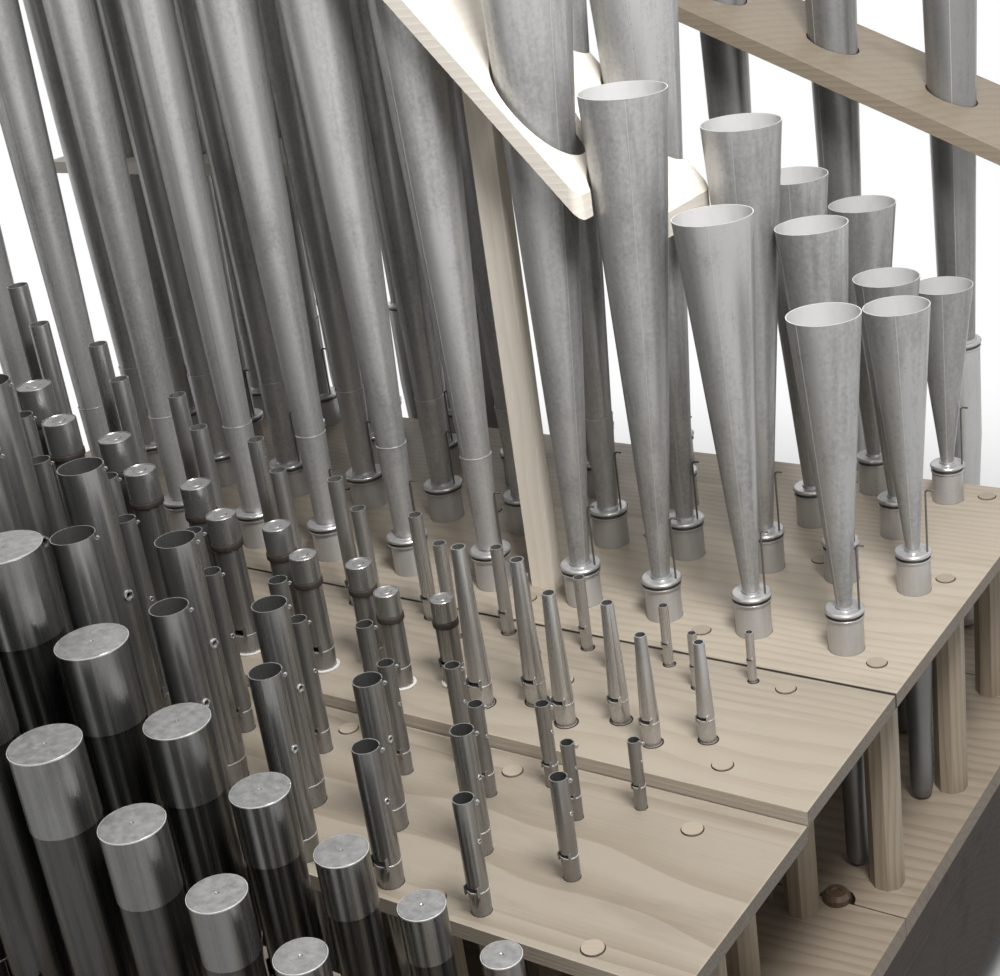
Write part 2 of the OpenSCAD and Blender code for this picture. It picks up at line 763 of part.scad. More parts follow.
function bass_s(k) = bass_first + bass_pitch * k;
function bass_len(k) = bass_l + bass_l_step * k;
module bass_reed_boots() {
    color(tin) for (k = [0:basses - 1])
        at(bass_s(k), bass_row, toe_z) boot(bass_boot_d, bass_boot_h);
}

module bass_reed_blocks() {
    color(tin) for (k = [0:basses - 1])
        at(bass_s(k), bass_row, toe_z + bass_boot_h) block(bass_boot_d + 4, bass_neck_d);
}

bass_neck_z = toe_z + bass_boot_h + block_h;
module bass_reed_resonators() {
    color(tin) for (k = [0:basses - 1])
        at(bass_s(k), bass_row, bass_neck_z)
            resonator(bass_neck_d, bass_bell_d, bass_len(k), 0);
}

// Underside of a sloping rack above the floor, at a distance along
function front_under(s) = rack_z + front_bar_z + (s - front_bar_s) * tan(front_slope);
function bass_under(s) = rack_z + bass_bar_z + s * tan(bass_slope);
bar_end = chest_len - 8;

// A sloping board between two places along and two depths, seated on under0 at its lower end
module sloping_board(s0, s1, under0, slope, deep) {
    rise = (s1 - s0) * tan(slope);
    up = bar_t / cos(slope);
    at(s0, deep[1], under0) rotate([90, 0, 0]) mirror([1, 0, 0])
        linear_extrude(height = deep[1] - deep[0])
            polygon([[0, 0], [s1 - s0, rise], [s1 - s0, rise + up], [0, up]]);
}

module tube_hole(s, deep, r, z0, z1) {
    at(s, deep, z0) cylinder(r = r + bar_gap, h = z1 - z0);
}

// Widest radius of a resonator up to a height above its foot
function passing_r(neck, bell, len, z) = (neck + (bell - neck) * min(z / len, 1)) / 2;

// A quarter circle of points round a corner's middle, from an angle on
function corner_arc(middle, r, from) =
    [for (a = [0:15:90]) middle + r * [cos(from + a), sin(from + a)]];

// Plan of the trumpet rack: its lower end is cut back in front, and its corners are round
module trumpet_rack_plan() {
    tip = front_bar_s + front_bar_cut;
    step = trumpet_rows[1];
    r = bar_round;
    polygon(concat(
        corner_arc([tip + r, trumpet_bar[0] + r], r, 180),
        [[bar_end + 1, trumpet_bar[0]], [bar_end + 1, trumpet_bar[1]]],
        corner_arc([front_bar_s + r, trumpet_bar[1] - r], r, 90),
        [[front_bar_s, step], [tip, step]]));
}

module trumpet_rack() {
    low = rack_z + front_bar_z - bell_max;
    color(pale_wood) difference() {
        intersection() {
            sloping_board(front_bar_s, bar_end, front_under(front_bar_s), front_slope,
                [trumpet_bar[0] - 1, trumpet_bar[1] + 1]);
            at(0, 0, low) mirror([1, 0, 0]) linear_extrude(height = 3 * resonator_max)
                trumpet_rack_plan();
        }
        for (k = [4:reeds - 1]) {
            s = reed_s(k);
            bell = bell_dia(trumpet_d, k);
            top = front_under(s) + bar_t / cos(front_slope) + bell / 2 * tan(front_slope);
            up = min(top - neck_z, trumpet_len(k));
            tube_hole(s + sin(lean(k)) * up, trumpet_rows[k % 2],
                passing_r(neck_dia(k), bell, trumpet_len(k), up), front_under(s) - bell,
                top + bell / 2);
        }
    }
}

// An upright from z up to the underside of a rack
module rack_post(s, deep, z, under, slope = 0) {
    half = post_w / 2;
    at(s, deep + post_t / 2, z) rotate([90, 0, 0]) mirror([1, 0, 0])
        linear_extrude(height = post_t)
            polygon([[-half, 0], [half, 0], [half, under - z + half * tan(slope)],
                [-half, under - z - half * tan(slope)]]);
}

// Posts stand between two tubes of the front row, and at the bass end
module trumpet_rack_posts() {
    between = (reed_s(7) + reed_s(9)) / 2;
    deep = trumpet_rows[1] + post_t;
    color(pale_wood) for (s = [between, bar_end - post_w / 2])
        rack_post(s, s == between ? deep : trumpet_bar[0] + post_t, rack_z, front_under(s),
            front_slope);
}

// The clarion rack lies level, round the tubes from this pipe on
clarion_racked = shorts + 4;
clarion_bar_s = clarion_s(clarion_racked) - clarion_pitch / 2 - boot_d / 2;
module clarion_rack() {
    under = rack_z + clarion_bar_z;
    color(pale_wood) difference() {
        at(bar_end, clarion_bar[0], under)
            cube([bar_end - clarion_bar_s, clarion_bar[1] - clarion_bar[0], bar_t]);
        for (k = [clarion_racked - 1:clarions - 1]) {
            r = passing_r(neck_dia(k), bell_dia(clarion_d, k), clarion_len(k),
                under + bar_t - neck_z);
            tube_hole(clarion_s(k), clarion_y(k), r, under - 1, under + bar_t + 1);
        }
    }
}

module clarion_rack_posts() {
    first = (clarion_s(clarion_racked) + clarion_s(clarion_racked + 1)) / 2;
    color(pale_wood) for (s = [first, bar_end - post_w / 2])
        rack_post(s, (clarion_rows[0] + clarion_rows[1]) / 2, rack_z, rack_z + clarion_bar_z);
}

module bass_rack() {
    color(pale_wood) difference() {
        sloping_board(8, bar_end, bass_under(8), bass_slope, bass_bar);
        for (k = [0:basses - 1])
            at(bass_s(k), bass_row, bass_neck_z)
                cylinder(r1 = bass_neck_d / 2 + bar_gap, r2 = bass_bell_d / 2 + bar_gap,
                    h = bass_len(k));
    }
}

// Posts stand behind the tubes, near the rack's back edge
module bass_rack_posts() {
    color(pale_wood) for (k = [0:3:basses - 1]) {
        s = bass_s(k) + post_w;
        rack_post(s, chest_back - post_t, toe_z, bass_under(s), bass_slope);
    }
}

floor_bearers();
wind_chest();
front_panels();
chest_table();
toe_board_front();
toe_board_middle();
toe_board_rear();
toe_board_back();
toe_board_buttons();
rack_pillars();
low_rack_pillars();
low_rack_ledger();
rack_board_low();
rack_board_front();
rack_board_middle();
rack_board_rear();
stopped_pipes();
stopped_caps();
principal_pipes();
octave_pipes();
tapered_pipes();
flute_pipes();
flute_caps();
flute_bands();
flute_felts();
piccolo_pipes();
trumpet_boots();
trumpet_blocks();
trumpet_resonators();
trumpet_tuning_wires();
clarion_boots();
clarion_blocks();
clarion_resonators();
clarion_tuning_wires();
bass_reed_boots();
bass_reed_blocks();
bass_reed_resonators();
trumpet_rack();
trumpet_rack_posts();
clarion_rack();
clarion_rack_posts();
bass_rack();
bass_rack_posts();
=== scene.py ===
"""Looks of the treble end of a pipe organ's wind chest and of the pipes that stand on it.

Lengths are in metres. X runs along the chest with the treble end at +X, Y runs from front to
back, and Z is up from the floor.
"""

import logging
import math
from collections.abc import Callable
from dataclasses import dataclass, replace
from enum import Enum

import bmesh
import bpy
import numpy as np
from mathutils import Matrix, Vector, noise

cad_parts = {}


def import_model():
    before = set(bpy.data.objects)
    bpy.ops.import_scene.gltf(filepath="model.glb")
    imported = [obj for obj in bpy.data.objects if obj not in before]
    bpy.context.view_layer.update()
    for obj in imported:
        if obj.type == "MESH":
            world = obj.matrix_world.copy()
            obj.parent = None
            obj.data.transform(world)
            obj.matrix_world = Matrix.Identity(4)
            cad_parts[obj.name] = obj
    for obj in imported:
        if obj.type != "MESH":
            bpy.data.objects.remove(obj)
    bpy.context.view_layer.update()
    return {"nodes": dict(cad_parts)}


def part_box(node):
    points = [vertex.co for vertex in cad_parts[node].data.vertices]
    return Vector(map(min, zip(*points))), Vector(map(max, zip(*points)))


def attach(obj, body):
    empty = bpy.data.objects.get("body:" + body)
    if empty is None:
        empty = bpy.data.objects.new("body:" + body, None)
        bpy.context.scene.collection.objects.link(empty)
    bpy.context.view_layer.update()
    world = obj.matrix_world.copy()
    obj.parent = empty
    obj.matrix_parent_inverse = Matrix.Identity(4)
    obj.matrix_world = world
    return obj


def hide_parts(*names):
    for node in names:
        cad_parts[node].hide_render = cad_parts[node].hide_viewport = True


log = logging.getLogger("pipe organ")

Number = float | int
Colour = tuple[float, float, float]
Shape = Callable[[np.ndarray], np.ndarray]

# Vertices nearer than this are one, also as a number of digits
MERGE = 0.00001
MERGE_DIGITS = 5
# Radius of a ring's rounded corner as a share of its section
CORNER = 0.45


def operator(operation: str, swapped: bool = False) -> Callable[..., "Wire"]:
    """Makes a method that puts a Math node on a wire and the terms beside it.

    Args:
        operation: The node's operation.
        swapped: Whether the wire itself comes last.

    Returns:
        The method.
    """
    def method(self: "Wire", *others: "Wire | Number") -> "Wire":
        """Adds the node."""
        terms = (*others, self) if swapped else (self, *others)
        return self.graph.node("ShaderNodeMath", {"operation": operation}, dict(enumerate(terms)))

    return method


class Wire:
    """A node's output that takes part in arithmetic."""

    __add__ = __radd__ = operator("ADD")
    __sub__ = operator("SUBTRACT")
    __rsub__ = operator("SUBTRACT", swapped=True)
    __mul__ = __rmul__ = operator("MULTIPLY")
    __truediv__ = operator("DIVIDE")
    __pow__ = operator("POWER")
    __abs__ = operator("ABSOLUTE")
    floor = operator("FLOOR")
    fraction = operator("FRACT")
    lower = operator("MINIMUM")
    higher = operator("MAXIMUM")

    def __init__(self, graph: "Nodes", socket: bpy.types.NodeSocket) -> None:
        """Wraps a socket.

        Args:
            graph: The nodes that the socket is among.
            socket: The output socket.
        """
        self.graph = graph
        self.socket = socket

    def held(self) -> "Wire":
        """Holds the value between 0 and 1."""
        settings = {"operation": "ADD", "use_clamp": True}
        return self.graph.node("ShaderNodeMath", settings, {0: self, 1: 0.0})

    def rise(self, start: float, end: float) -> "Wire":
        """Goes smoothly from 0 to 1 as the value goes from one limit to the other.

        Args:
            start: The value that gives 0.
            end: The value that gives 1, which may be below start.

        Returns:
            A mask.
        """
        settings = {"interpolation_type": "SMOOTHSTEP"}
        if start > end:
            return 1.0 - self.rise(end, start)
        return self.graph.node(
            "ShaderNodeMapRange", settings, {"Value": self, "From Min": start, "From Max": end}
        )


class Nodes:
    """The nodes of a material or of the world."""

    def __init__(self, tree: bpy.types.NodeTree) -> None:
        """Clears a tree.

        Args:
            tree: The tree.
        """
        self.tree = tree
        self.tree.nodes.clear()

    def feed(self, socket: bpy.types.NodeSocket, value: Wire | Number | Colour) -> None:
        """Gives a socket its link or its value.

        Args:
            socket: The input socket.
            value: A link, a number, a vector or a colour.
        """
        if isinstance(value, Wire):
            self.tree.links.new(value.socket, socket)
        elif isinstance(value, tuple) and len(socket.default_value) == 4:
            socket.default_value = (*value, 1.0)
        else:
            socket.default_value = value

    def node(self, kind: str, settings: dict, inputs: dict, output: str | int = 0) -> Wire:
        """Adds a node of any type.

        Args:
            kind: The node's type.
            settings: Its own values.
            inputs: Values or links of its sockets, by name or number.
            output: The output that is wanted.

        Returns:
            That output.
        """
        made = self.tree.nodes.new(kind)
        for key, value in settings.items():
            setattr(made, key, value)
        for key, value in inputs.items():
            self.feed(made.inputs[key], value)
        return Wire(self, made.outputs[output])

    def seen(self) -> Wire:
        """Masks the rays that come from the camera, a mirror or a clear piece."""
        rays = [self.node("ShaderNodeLightPath", {}, {}, f"Is {kind} Ray")
                for kind in ("Camera", "Glossy", "Transmission")]
        return rays[0].higher(rays[1]).higher(rays[2])


class Graph(Nodes):
    """A material's nodes, with a principled shader at their end."""

    def __init__(self, name: str) -> None:
        """Starts a material.

        Args:
            name: The material's name.
        """
        self.material = bpy.data.materials.new(name)
        self.material.use_nodes = True
        super().__init__(self.material.node_tree)
        self.shader = self.tree.nodes.new("ShaderNodeBsdfPrincipled")
        self.end = self.tree.nodes.new("ShaderNodeOutputMaterial")
        self.tree.links.new(self.shader.outputs[0], self.end.inputs[0])
        self.place = self.node("ShaderNodeTexCoord", {}, {}, "Object")

    def set(self, **inputs: Wire | Number) -> None:
        """Sets the principled shader's sockets.

        Args:
            inputs: Values or links by socket name, with underscores for spaces.
        """
        for key, value in inputs.items():
            self.feed(self.shader.inputs[key.replace("_", " ")], value)

    def finish_with(self, share: Wire, kind: str, inputs: dict) -> None:
        """Mixes another shader over the principled one.

        Args:
            share: How much of it shows.
            kind: The other shader's type.
            inputs: Its sockets' values.
        """
        terms = {0: share, 1: Wire(self, self.shader.outputs[0]), 2: self.node(kind, {}, inputs)}
        mixed = self.node("ShaderNodeMixShader", {}, terms)
        self.tree.links.new(mixed.socket, self.end.inputs[0])

    def along(self, axis: int) -> Wire:
        """Gives one of the three coordinates.

        Args:
            axis: 0, 1 or 2.

        Returns:
            The coordinate in metres.
        """
        return self.node("ShaderNodeSeparateXYZ", {}, {0: self.place}, axis)

    def facing(self, axis: int) -> Wire:
        """Gives one part of the surface's normal.

        Args:
            axis: 0, 1 or 2.

        Returns:
            The normal's part along that axis.
        """
        normal = self.node("ShaderNodeTexCoord", {}, {}, "Normal")
        return self.node("ShaderNodeSeparateXYZ", {}, {0: normal}, axis)

    def scaled(self, scale: tuple[float, float, float]) -> Wire:
        """Gives the place, multiplied along each axis.

        Args:
            scale: What X, Y and Z are multiplied by.

        Returns:
            The new place.
        """
        return self.node("ShaderNodeVectorMath", {"operation": "MULTIPLY"},
                         {0: self.place, 1: scale})

    def noise(self, scale: tuple[float, float, float], detail: float = 3.0) -> Wire:
        """Adds noise that is stretched by its scale along each axis.

        Args:
            scale: Spots per metre along X, Y and Z.
            detail: How many finer layers it has.

        Returns:
            Values round 0.5.
        """
        return self.node("ShaderNodeTexNoise", {"noise_dimensions": "3D"},
                         {"Vector": self.scaled(scale), "Scale": 1.0, "Detail": detail,
                          "Roughness": 0.55})

    def specks(self, scale: tuple[float, float, float], size: float, share: float) -> Wire:
        """Adds round specks in some of the cells of a grid of scattered points.

        Args:
            scale: Cells per metre along X, Y and Z.
            size: A speck's radius as a share of its cell.
            share: The share of the cells that hold a speck.

        Returns:
            A mask that is 1 in a speck's middle.
        """
        cells = {"Vector": self.scaled(scale), "Scale": 1.0}
        near = self.node("ShaderNodeTexVoronoi", {"feature": "F1"}, cells, "Distance")
        colour = self.node("ShaderNodeTexVoronoi", {"feature": "F1"}, cells, "Color")
        chance = self.node("ShaderNodeSeparateColor", {}, {0: colour}, 0)
        return near.rise(size, size * 0.4) * chance.rise(share + 0.01, share)

    def blend(self, share: Wire | Number, first: Wire | Colour, second: Wire | Colour) -> Wire:
        """Mixes two colours.

        Args:
            share: How much of the second there is.
            first: The first colour.
            second: The second colour.

        Returns:
            The mixture.
        """
        terms = {0: share, 6: first, 7: second}
        return self.node("ShaderNodeMix", {"data_type": "RGBA"}, terms, 2)

    def relief(self, height: Wire, depth: float) -> None:
        """Gives the surface a relief.

        Args:
            height: Height between 0 and 1.
            depth: What 1 is in metres.
        """
        bump = self.node("ShaderNodeBump", {}, {"Height": height, "Distance": depth,
                                                "Strength": 1.0})
        self.set(Normal=bump)

    def worn_edges(self, low: Vector, high: Vector, width: float) -> Wire:
        """Masks the edges of a box.

        Args:
            low: The box's lowest corner.
            high: Its highest corner.
            width: How wide the wear is.

        Returns:
            A mask that is 1 at the edges.
        """
        near = []
        for axis in range(3):
            place = self.along(axis)
            near.append(abs(place - low[axis]).lower(abs(place - high[axis])))
        first, second, third = near
        edge = first.lower(second).higher(first.higher(second).lower(third))
        ragged = edge + (self.noise((90.0, 90.0, 90.0), 4.0) - 0.5) * width
        return ragged.rise(width, 0.0)


class Grain(Enum):
    """The way that a piece's wood fibres run."""

    ALONG = (0, 1, 2)
    DEEP = (1, 0, 2)
    UP = (2, 0, 1)


@dataclass(frozen=True)
class Finish:
    """What a piece looks to be made of.

    Attributes:
        name: The material's name.
    """

    name: str

    def material(self, low: Vector, high: Vector) -> bpy.types.Material:
        """Makes the material for a piece.

        Args:
            low: The piece's lowest corner.
            high: Its highest corner.

        Returns:
            The material.
        """
        graph = Graph(self.name)
        self.paint(graph, low, high)
        return graph.material

    def paint(self, graph: Graph, low: Vector, high: Vector) -> None:
        """Gives the shader its inputs, which each kind of finish does its own way.

        Args:
            graph: The material's nodes.
            low: The piece's lowest corner.
            high: Its highest corner.
        """
        raise NotImplementedError


@dataclass(frozen=True)
class Wood(Finish):
    """Planed wood with growth rings, fibres, knots and worn edges.

    Attributes:
        light: Colour between the rings.
        dark: Colour of the rings.
        grain: The way that the fibres run.
        ring: Distance between two growth rings.
        contrast: How much the rings show.
        rough: Roughness.
        plank: Width of the planks that a board is glued up from, or 0 for one piece.
        joints: How much their glued joints show.
        knots: Share of the cells that hold a knot.
        wear: Colour of worn edges, and of the painted light on the faces that don't face up.
        varied: How much the planks of a board differ.
        soiled: How much the smudges show.
        sides: How much darker the faces are that don't face up, as painted shade.
        side_light: How much paler they are, as painted light.
        ends: How much darker the end grain is, in itself and as painted shade.
        worn: How much the worn edges show.
        gloss: Strength of the surface's own reflection.
        top: Colour of the upward end grain, if it differs.
        joint_soil_and_shade: Soil and painted shade along the joint with the next board, -1 in front
            and 1 at the back.
    """

    light: Colour
    dark: Colour
    grain: Grain = Grain.ALONG
    ring: float = 0.006
    contrast: float = 0.8
    rough: float = 0.5
    plank: float = 0.0
    joints: float = 0.12
    knots: float = 0.1
    wear: Colour | None = None
    varied: float = 0.3
    soiled: float = 0.16
    sides: float = 0.0
    side_light: float = 0.0
    ends: float = 0.0
    worn: float = 0.6
    gloss: float = 0.45
    top: Colour | None = None
    joint_soil_and_shade: float = 0.0

    def stretched(self, length: float, across: float) -> tuple[float, float, float]:
        """Gives a scale that is drawn out along the fibres.

        Args:
            length: Spots per metre along the fibres.
            across: Spots per metre across them.

        Returns:
            The scale along X, Y and Z.
        """
        scale = [across, across, across]
        scale[self.grain.value[0]] = length
        return (scale[0], scale[1], scale[2])

    def paint(self, graph: Graph, low: Vector, high: Vector) -> None:
        """Paints the growth, the smudges, the marks of work and wear, and painted shade and light on
        some faces.

        Args:
            graph: The material's nodes.
            low: The piece's lowest corner.
            high: Its highest corner.
        """
        side, thick = self.grain.value[1:]
        tone = graph.noise(self.stretched(0.9, 7.0), 2.0)
        across = graph.along(side)
        if self.plank:
            planks = across / self.plank + 0.35
            joint = planks.fraction()
            chance = graph.node("ShaderNodeTexWhiteNoise", {"noise_dimensions": "1D"},
                                {"W": planks.floor()}, "Value")
            across = across + chance * 3.0
            tone = tone * (1.0 - self.varied) + chance * self.varied
        wander = (graph.noise(self.stretched(1.6, 3.0), 2.0) - 0.5) * (self.ring * 9.0)
        heart = across + wander + 0.03
        under = graph.along(thick) + wander * 0.5 + 0.035
        saw = (((heart * heart * 0.35 + under * under) ** 0.5) / self.ring).fraction()
        late = saw.rise(0.30, 0.92) * saw.rise(1.0, 0.95)
        fibre = graph.noise(self.stretched(5.0, 420.0), 4.0)
        fine = graph.noise(self.stretched(14.0, 1500.0), 2.0)
        shade = late * (0.45 * self.contrast) + fibre * 0.4 + fine * 0.2 + tone * 0.3 - 0.42
        shade = shade.held()
        if self.grain is Grain.UP:
            shade = shade * graph.facing(2).rise(0.95, 0.80)
        colour = graph.blend(shade, self.light, self.dark)
        knot = graph.specks(self.stretched(2.2, 5.0), 0.05, self.knots)
        fleck = graph.specks((210.0, 210.0, 210.0), 0.16, 0.04)
        colour = graph.blend((knot * 0.8).higher(fleck * 0.5), colour, self.deep)
        smudge = graph.noise(self.stretched(4.0, 17.0), 5.0).rise(0.50, 0.75)
        colour = graph.blend(smudge * self.soiled, colour, self.deep)
        if self.plank:
            line = joint.rise(0.012, 0.0).higher(joint.rise(0.988, 1.0))
            colour = graph.blend(line * self.joints, colour, self.deep)
        colour = self.marked(graph, colour, fibre, low, high)
        graph.set(Base_Color=colour, Metallic=0.0, Specular_IOR_Level=self.gloss,
                  Roughness=self.rough + (fibre - 0.5) * 0.25 + smudge * 0.08)
        graph.relief(fibre * 0.5 + late * 0.3 + fine * 0.3, 0.00035)

    @property
    def deep(self) -> Colour:
        """Colour of knots, soil and glued joints, and of painted shade on side and end faces."""
        return tuple(0.45 * part for part in self.dark)

    def marked(self, graph: Graph, colour: Wire, fibre: Wire, low: Vector, high: Vector) -> Wire:
        """Adds worn edges, painted shade and light on faces that don't face up, end grain darker
        also by painted shade, and soil and painted shade along the joint.

        Args:
            graph: The material's nodes.
            colour: The plain wood.
            fibre: Noise along the fibres.
            low: The piece's lowest corner.
            high: Its highest corner.

        Returns:
            The new colour.
        """
        if self.wear:
            edges = graph.worn_edges(low, high, 0.003)
            colour = graph.blend(edges * self.worn, colour, self.wear)
        # Faces that don't face up: painted shade (sides) and painted light (fresh).
        upright_faces = abs(graph.facing(2)).rise(0.8, 0.4)
        if self.sides:
            colour = graph.blend(upright_faces * self.sides, colour, self.deep)
        if self.side_light:
            colour = graph.blend(upright_faces * self.side_light, colour, self.wear)
        # End grain: darker in itself, and painted shade on the end faces.
        if self.ends:
            end = abs(graph.facing(self.grain.value[0])).rise(0.5, 0.8)
            share = (self.ends + (fibre - 0.5) * 0.5).held()
            colour = graph.blend(end * share, colour, self.deep)
        if self.top:
            colour = graph.blend(graph.facing(2).rise(0.80, 0.95) * 0.8, colour, self.top)
        # A darker strip along the joint with the next board: soil and painted shade.
        if self.joint_soil_and_shade:
            border = high.y if self.joint_soil_and_shade > 0.0 else low.y
            ragged = (graph.noise((25.0, 25.0, 25.0), 3.0) - 0.5) * 0.002
            near = abs(graph.along(1) - border) + ragged
            colour = graph.blend(near.rise(0.0022, 0.0008) * 0.9, colour, JOINT_SOIL_AND_SHADE)
        return colour


@dataclass(frozen=True)
class PipeMetal(Finish):
    """A tin and lead alloy: planed, handled and gone dull in places.

    Attributes:
        bright: Colour of the clean metal.
        dull: Colour where it is tarnished.
        rough: Roughness of the clean metal.
        metal: How much of a metal's mirror the surface keeps under its tarnish.
        tarnish: How much tarnish there is.
        planing: How much the upright planing marks show, in the colour also as painted reflection
            streaks.
        mottle: How much the cooling spots show.
        dents: Depth of the soft dents from handling, in metres.
        turned: Whether rings from a lathe show in place of planing marks.
        foot: Height of the pipes' foot rings, under which the metal is rubbed bright, or 0.
        shaded_grooves: The lowest and highest part of each groove above the piece's lower end,
            painted dark as shade.
        inside: Pale colour painted inside the bells as light, if it differs.
        lid: Colour of the flat tops, painted pale as light, if it differs.
        under: How much darker the faces are that lean over, as a flaring bell's do: painted shade.
        sunk: Height under which the metal is darkened as painted shade, or 0.
    """

    bright: Colour
    dull: Colour
    rough: float = 0.36
    metal: float = 0.75
    tarnish: float = 0.5
    planing: float = 0.4
    mottle: float = 0.3
    dents: float = 0.0004
    turned: bool = False
    foot: float = 0.0
    shaded_grooves: tuple[tuple[float, float], ...] = ()
    inside: Colour | None = None
    lid: Colour | None = None
    under: float = 0.0
    sunk: float = 0.0

    def paint(self, graph: Graph, low: Vector, high: Vector) -> None:
        """Paints the tarnish, the planing marks, the scratches and the dents, with painted light,
        shade and reflection streaks.

        Args:
            graph: The material's nodes.
            low: The piece's lowest corner.
            high: Its highest corner; not used.
        """
        height = graph.along(2)
        top = graph.facing(2).rise(0.80, 0.97)
        clouds = graph.noise((9.0, 9.0, 4.0), 4.0)
        spots = graph.noise((230.0, 230.0, 190.0), 3.0)
        marks = (14.0, 14.0, 900.0) if self.turned else (560.0, 560.0, 1.6)
        planing = graph.noise(marks, 3.0)
        strokes = graph.noise((130.0, 130.0, 3.0), 2.0)
        wipes = graph.noise((60.0, 60.0, 5.0), 4.0)
        scratch = graph.noise((1500.0, 1500.0, 28.0), 1.0).rise(0.72, 0.80)
        cross = graph.noise((40.0, 40.0, 1300.0), 1.0).rise(0.74, 0.82)
        pits = graph.specks((170.0, 170.0, 170.0), 0.15, 0.07)
        patch = graph.noise((26.0, 26.0, 15.0), 5.0).rise(0.50, 0.75)
        tarnish_and_sheen = (clouds.rise(0.35, 0.75) * 0.6 + patch * 0.4) * self.tarnish
        # The upright strokes and wipes are planing marks and also painted reflection streaks, so
        # this sum is tarnish with painted sheen.
        tarnish_and_sheen = tarnish_and_sheen + (strokes - 0.5 + (wipes - 0.5) * 0.6) * self.planing
        tarnish_and_sheen = tarnish_and_sheen + (spots - 0.5) * self.mottle
        if self.foot:
            rubbed = height.rise(self.foot + 0.004, self.foot - 0.004)
            tarnish_and_sheen = tarnish_and_sheen * (1.0 - rubbed * 0.6)
        tarnish_and_sheen = tarnish_and_sheen.held()
        colour = graph.blend(tarnish_and_sheen, self.bright, self.dull)
        light = tuple(min(1.0, part * 1.3) for part in self.bright)
        # Painted light: faces that face up are painted paler in patches, as lit from above.
        worn = graph.noise((130.0, 130.0, 130.0), 6.0).rise(0.20, 0.80)
        colour = graph.blend(top * (0.35 + worn * 0.6), colour, self.lid or light)
        colour = graph.blend(scratch * 0.40 + cross * 0.30, colour, light)
        colour = self.darkened(graph, graph.blend(pits * 0.7, colour, self.black), height, low)
        rough = self.rough + tarnish_and_sheen * 0.15 + (planing - 0.5) * (0.20 * self.planing) + top * 0.08
        metal = self.metal - tarnish_and_sheen * 0.15 - top * 0.15
        # Painted light: the upward inner faces of the bells are painted pale; the metal there is
        # also made duller.
        if self.inside:
            lit_bell_inside = graph.facing(2).rise(0.005, 0.035)
            colour = graph.blend(lit_bell_inside * (0.9 - patch * 0.25), colour, self.inside)
            metal = metal - lit_bell_inside * 0.8
            rough = rough + lit_bell_inside * 0.2
        graph.set(Base_Color=colour, Metallic=metal.held(),
                  Roughness=(rough + scratch * 0.08).held())
        dents = graph.noise((15.0, 15.0, 8.0), 1.0)
        scored = planing * (0.00004 * self.planing + 0.00001) + spots * 0.00002 - pits * 0.00010
        graph.relief((scored + dents * self.dents) * 1000.0, 0.001)

    @property
    def black(self) -> Colour:
        """Colour of pits, and of the painted shade under a bell, below the boards and in each
        groove.
        """
        return tuple(part * 0.4 for part in self.dull)

    def darkened(self, graph: Graph, colour: Wire, height: Wire, low: Vector) -> Wire:
        """Adds painted shade: on the faces that lean over under a bell, below the boards and in each
        groove.

        Args:
            graph: The material's nodes.
            colour: The metal so far.
            height: Height above the floor.
            low: The piece's lowest corner.

        Returns:
            The new colour.
        """
        # Painted shade on the faces that lean over.
        if self.under:
            leaning = graph.facing(2).rise(-0.03, -0.13)
            colour = graph.blend(leaning * self.under, colour, self.black)
        # Painted shade below the boards.
        if self.sunk:
            shade_below_boards = height.rise(self.sunk + 0.001, self.sunk - 0.012)
            colour = graph.blend(shade_below_boards * 0.8, colour, self.black)
        # Painted shade in each groove.
        for start, end in self.shaded_grooves:
            above = height.rise(low.z + start - 0.0003, low.z + start + 0.0002)
            deep = above * height.rise(low.z + end, low.z + end - 0.0005)
            colour = graph.blend(deep * 0.85, colour, self.black)
        return colour


@dataclass(frozen=True)
class Soft(Finish):
    """Felt, thin leather, and the dark rims of painted shade.

    Attributes:
        light: Colour of its raised parts.
        dark: Colour of its hollows.
        cell: Size of its fibres or pebbles.
        rough: Roughness.
    """

    light: Colour
    dark: Colour
    cell: float
    rough: float

    def paint(self, graph: Graph, low: Vector, high: Vector) -> None:
        """Paints the fibres and the stains.

        Args:
            graph: The material's nodes.
            low: The piece's lowest corner; not used.
            high: Its highest corner; not used.
        """
        size = 1.0 / self.cell
        fibre = graph.noise((size, size, size), 5.0)
        stain = graph.noise((60.0, 60.0, 60.0), 3.0)
        share = (fibre * 0.7 + stain * 0.6 - 0.25).held()
        graph.set(Base_Color=graph.blend(share, self.dark, self.light),
                  Roughness=self.rough + (fibre - 0.5) * 0.2)
        graph.relief(fibre, self.cell * 0.4)


WHITE = (1.0, 1.0, 1.0)
# Colour of soil and painted shade in the joints between boards.
JOINT_SOIL_AND_SHADE = (0.020, 0.016, 0.012)
PALE = (0.37, 0.319, 0.256)
PALE_RING = (0.25, 0.198, 0.142)
# Board wood: paler on faces that don't face up as painted light (fresh), and end grain darker in
# itself and by painted shade (ends).
BOARD = Wood("planed_board", PALE, PALE_RING, plank=0.19, ring=0.007, rough=0.5, knots=0.06,
             wear=(0.50, 0.438, 0.36), varied=0.6, soiled=0.22, side_light=0.9, ends=0.9,
             worn=0.25, contrast=0.65)
# The front board is a darker copy of the board wood: painted shade.
SHADED_FRONT_BOARD = replace(BOARD, name="shaded_front_board", light=(0.325, 0.28, 0.222),
                      dark=(0.178, 0.139, 0.096), soiled=0.35, contrast=1.1, ring=0.0045)
BOARD_MIDDLE = replace(BOARD, name="planed_middle_board", joint_soil_and_shade=1.0)
# The rear board is a paler copy of the board wood: painted light.
LIT_REAR_BOARD = replace(BOARD, name="lit_rear_board", light=(0.47, 0.406, 0.326),
                     dark=(0.31, 0.246, 0.177), joint_soil_and_shade=-1.0)
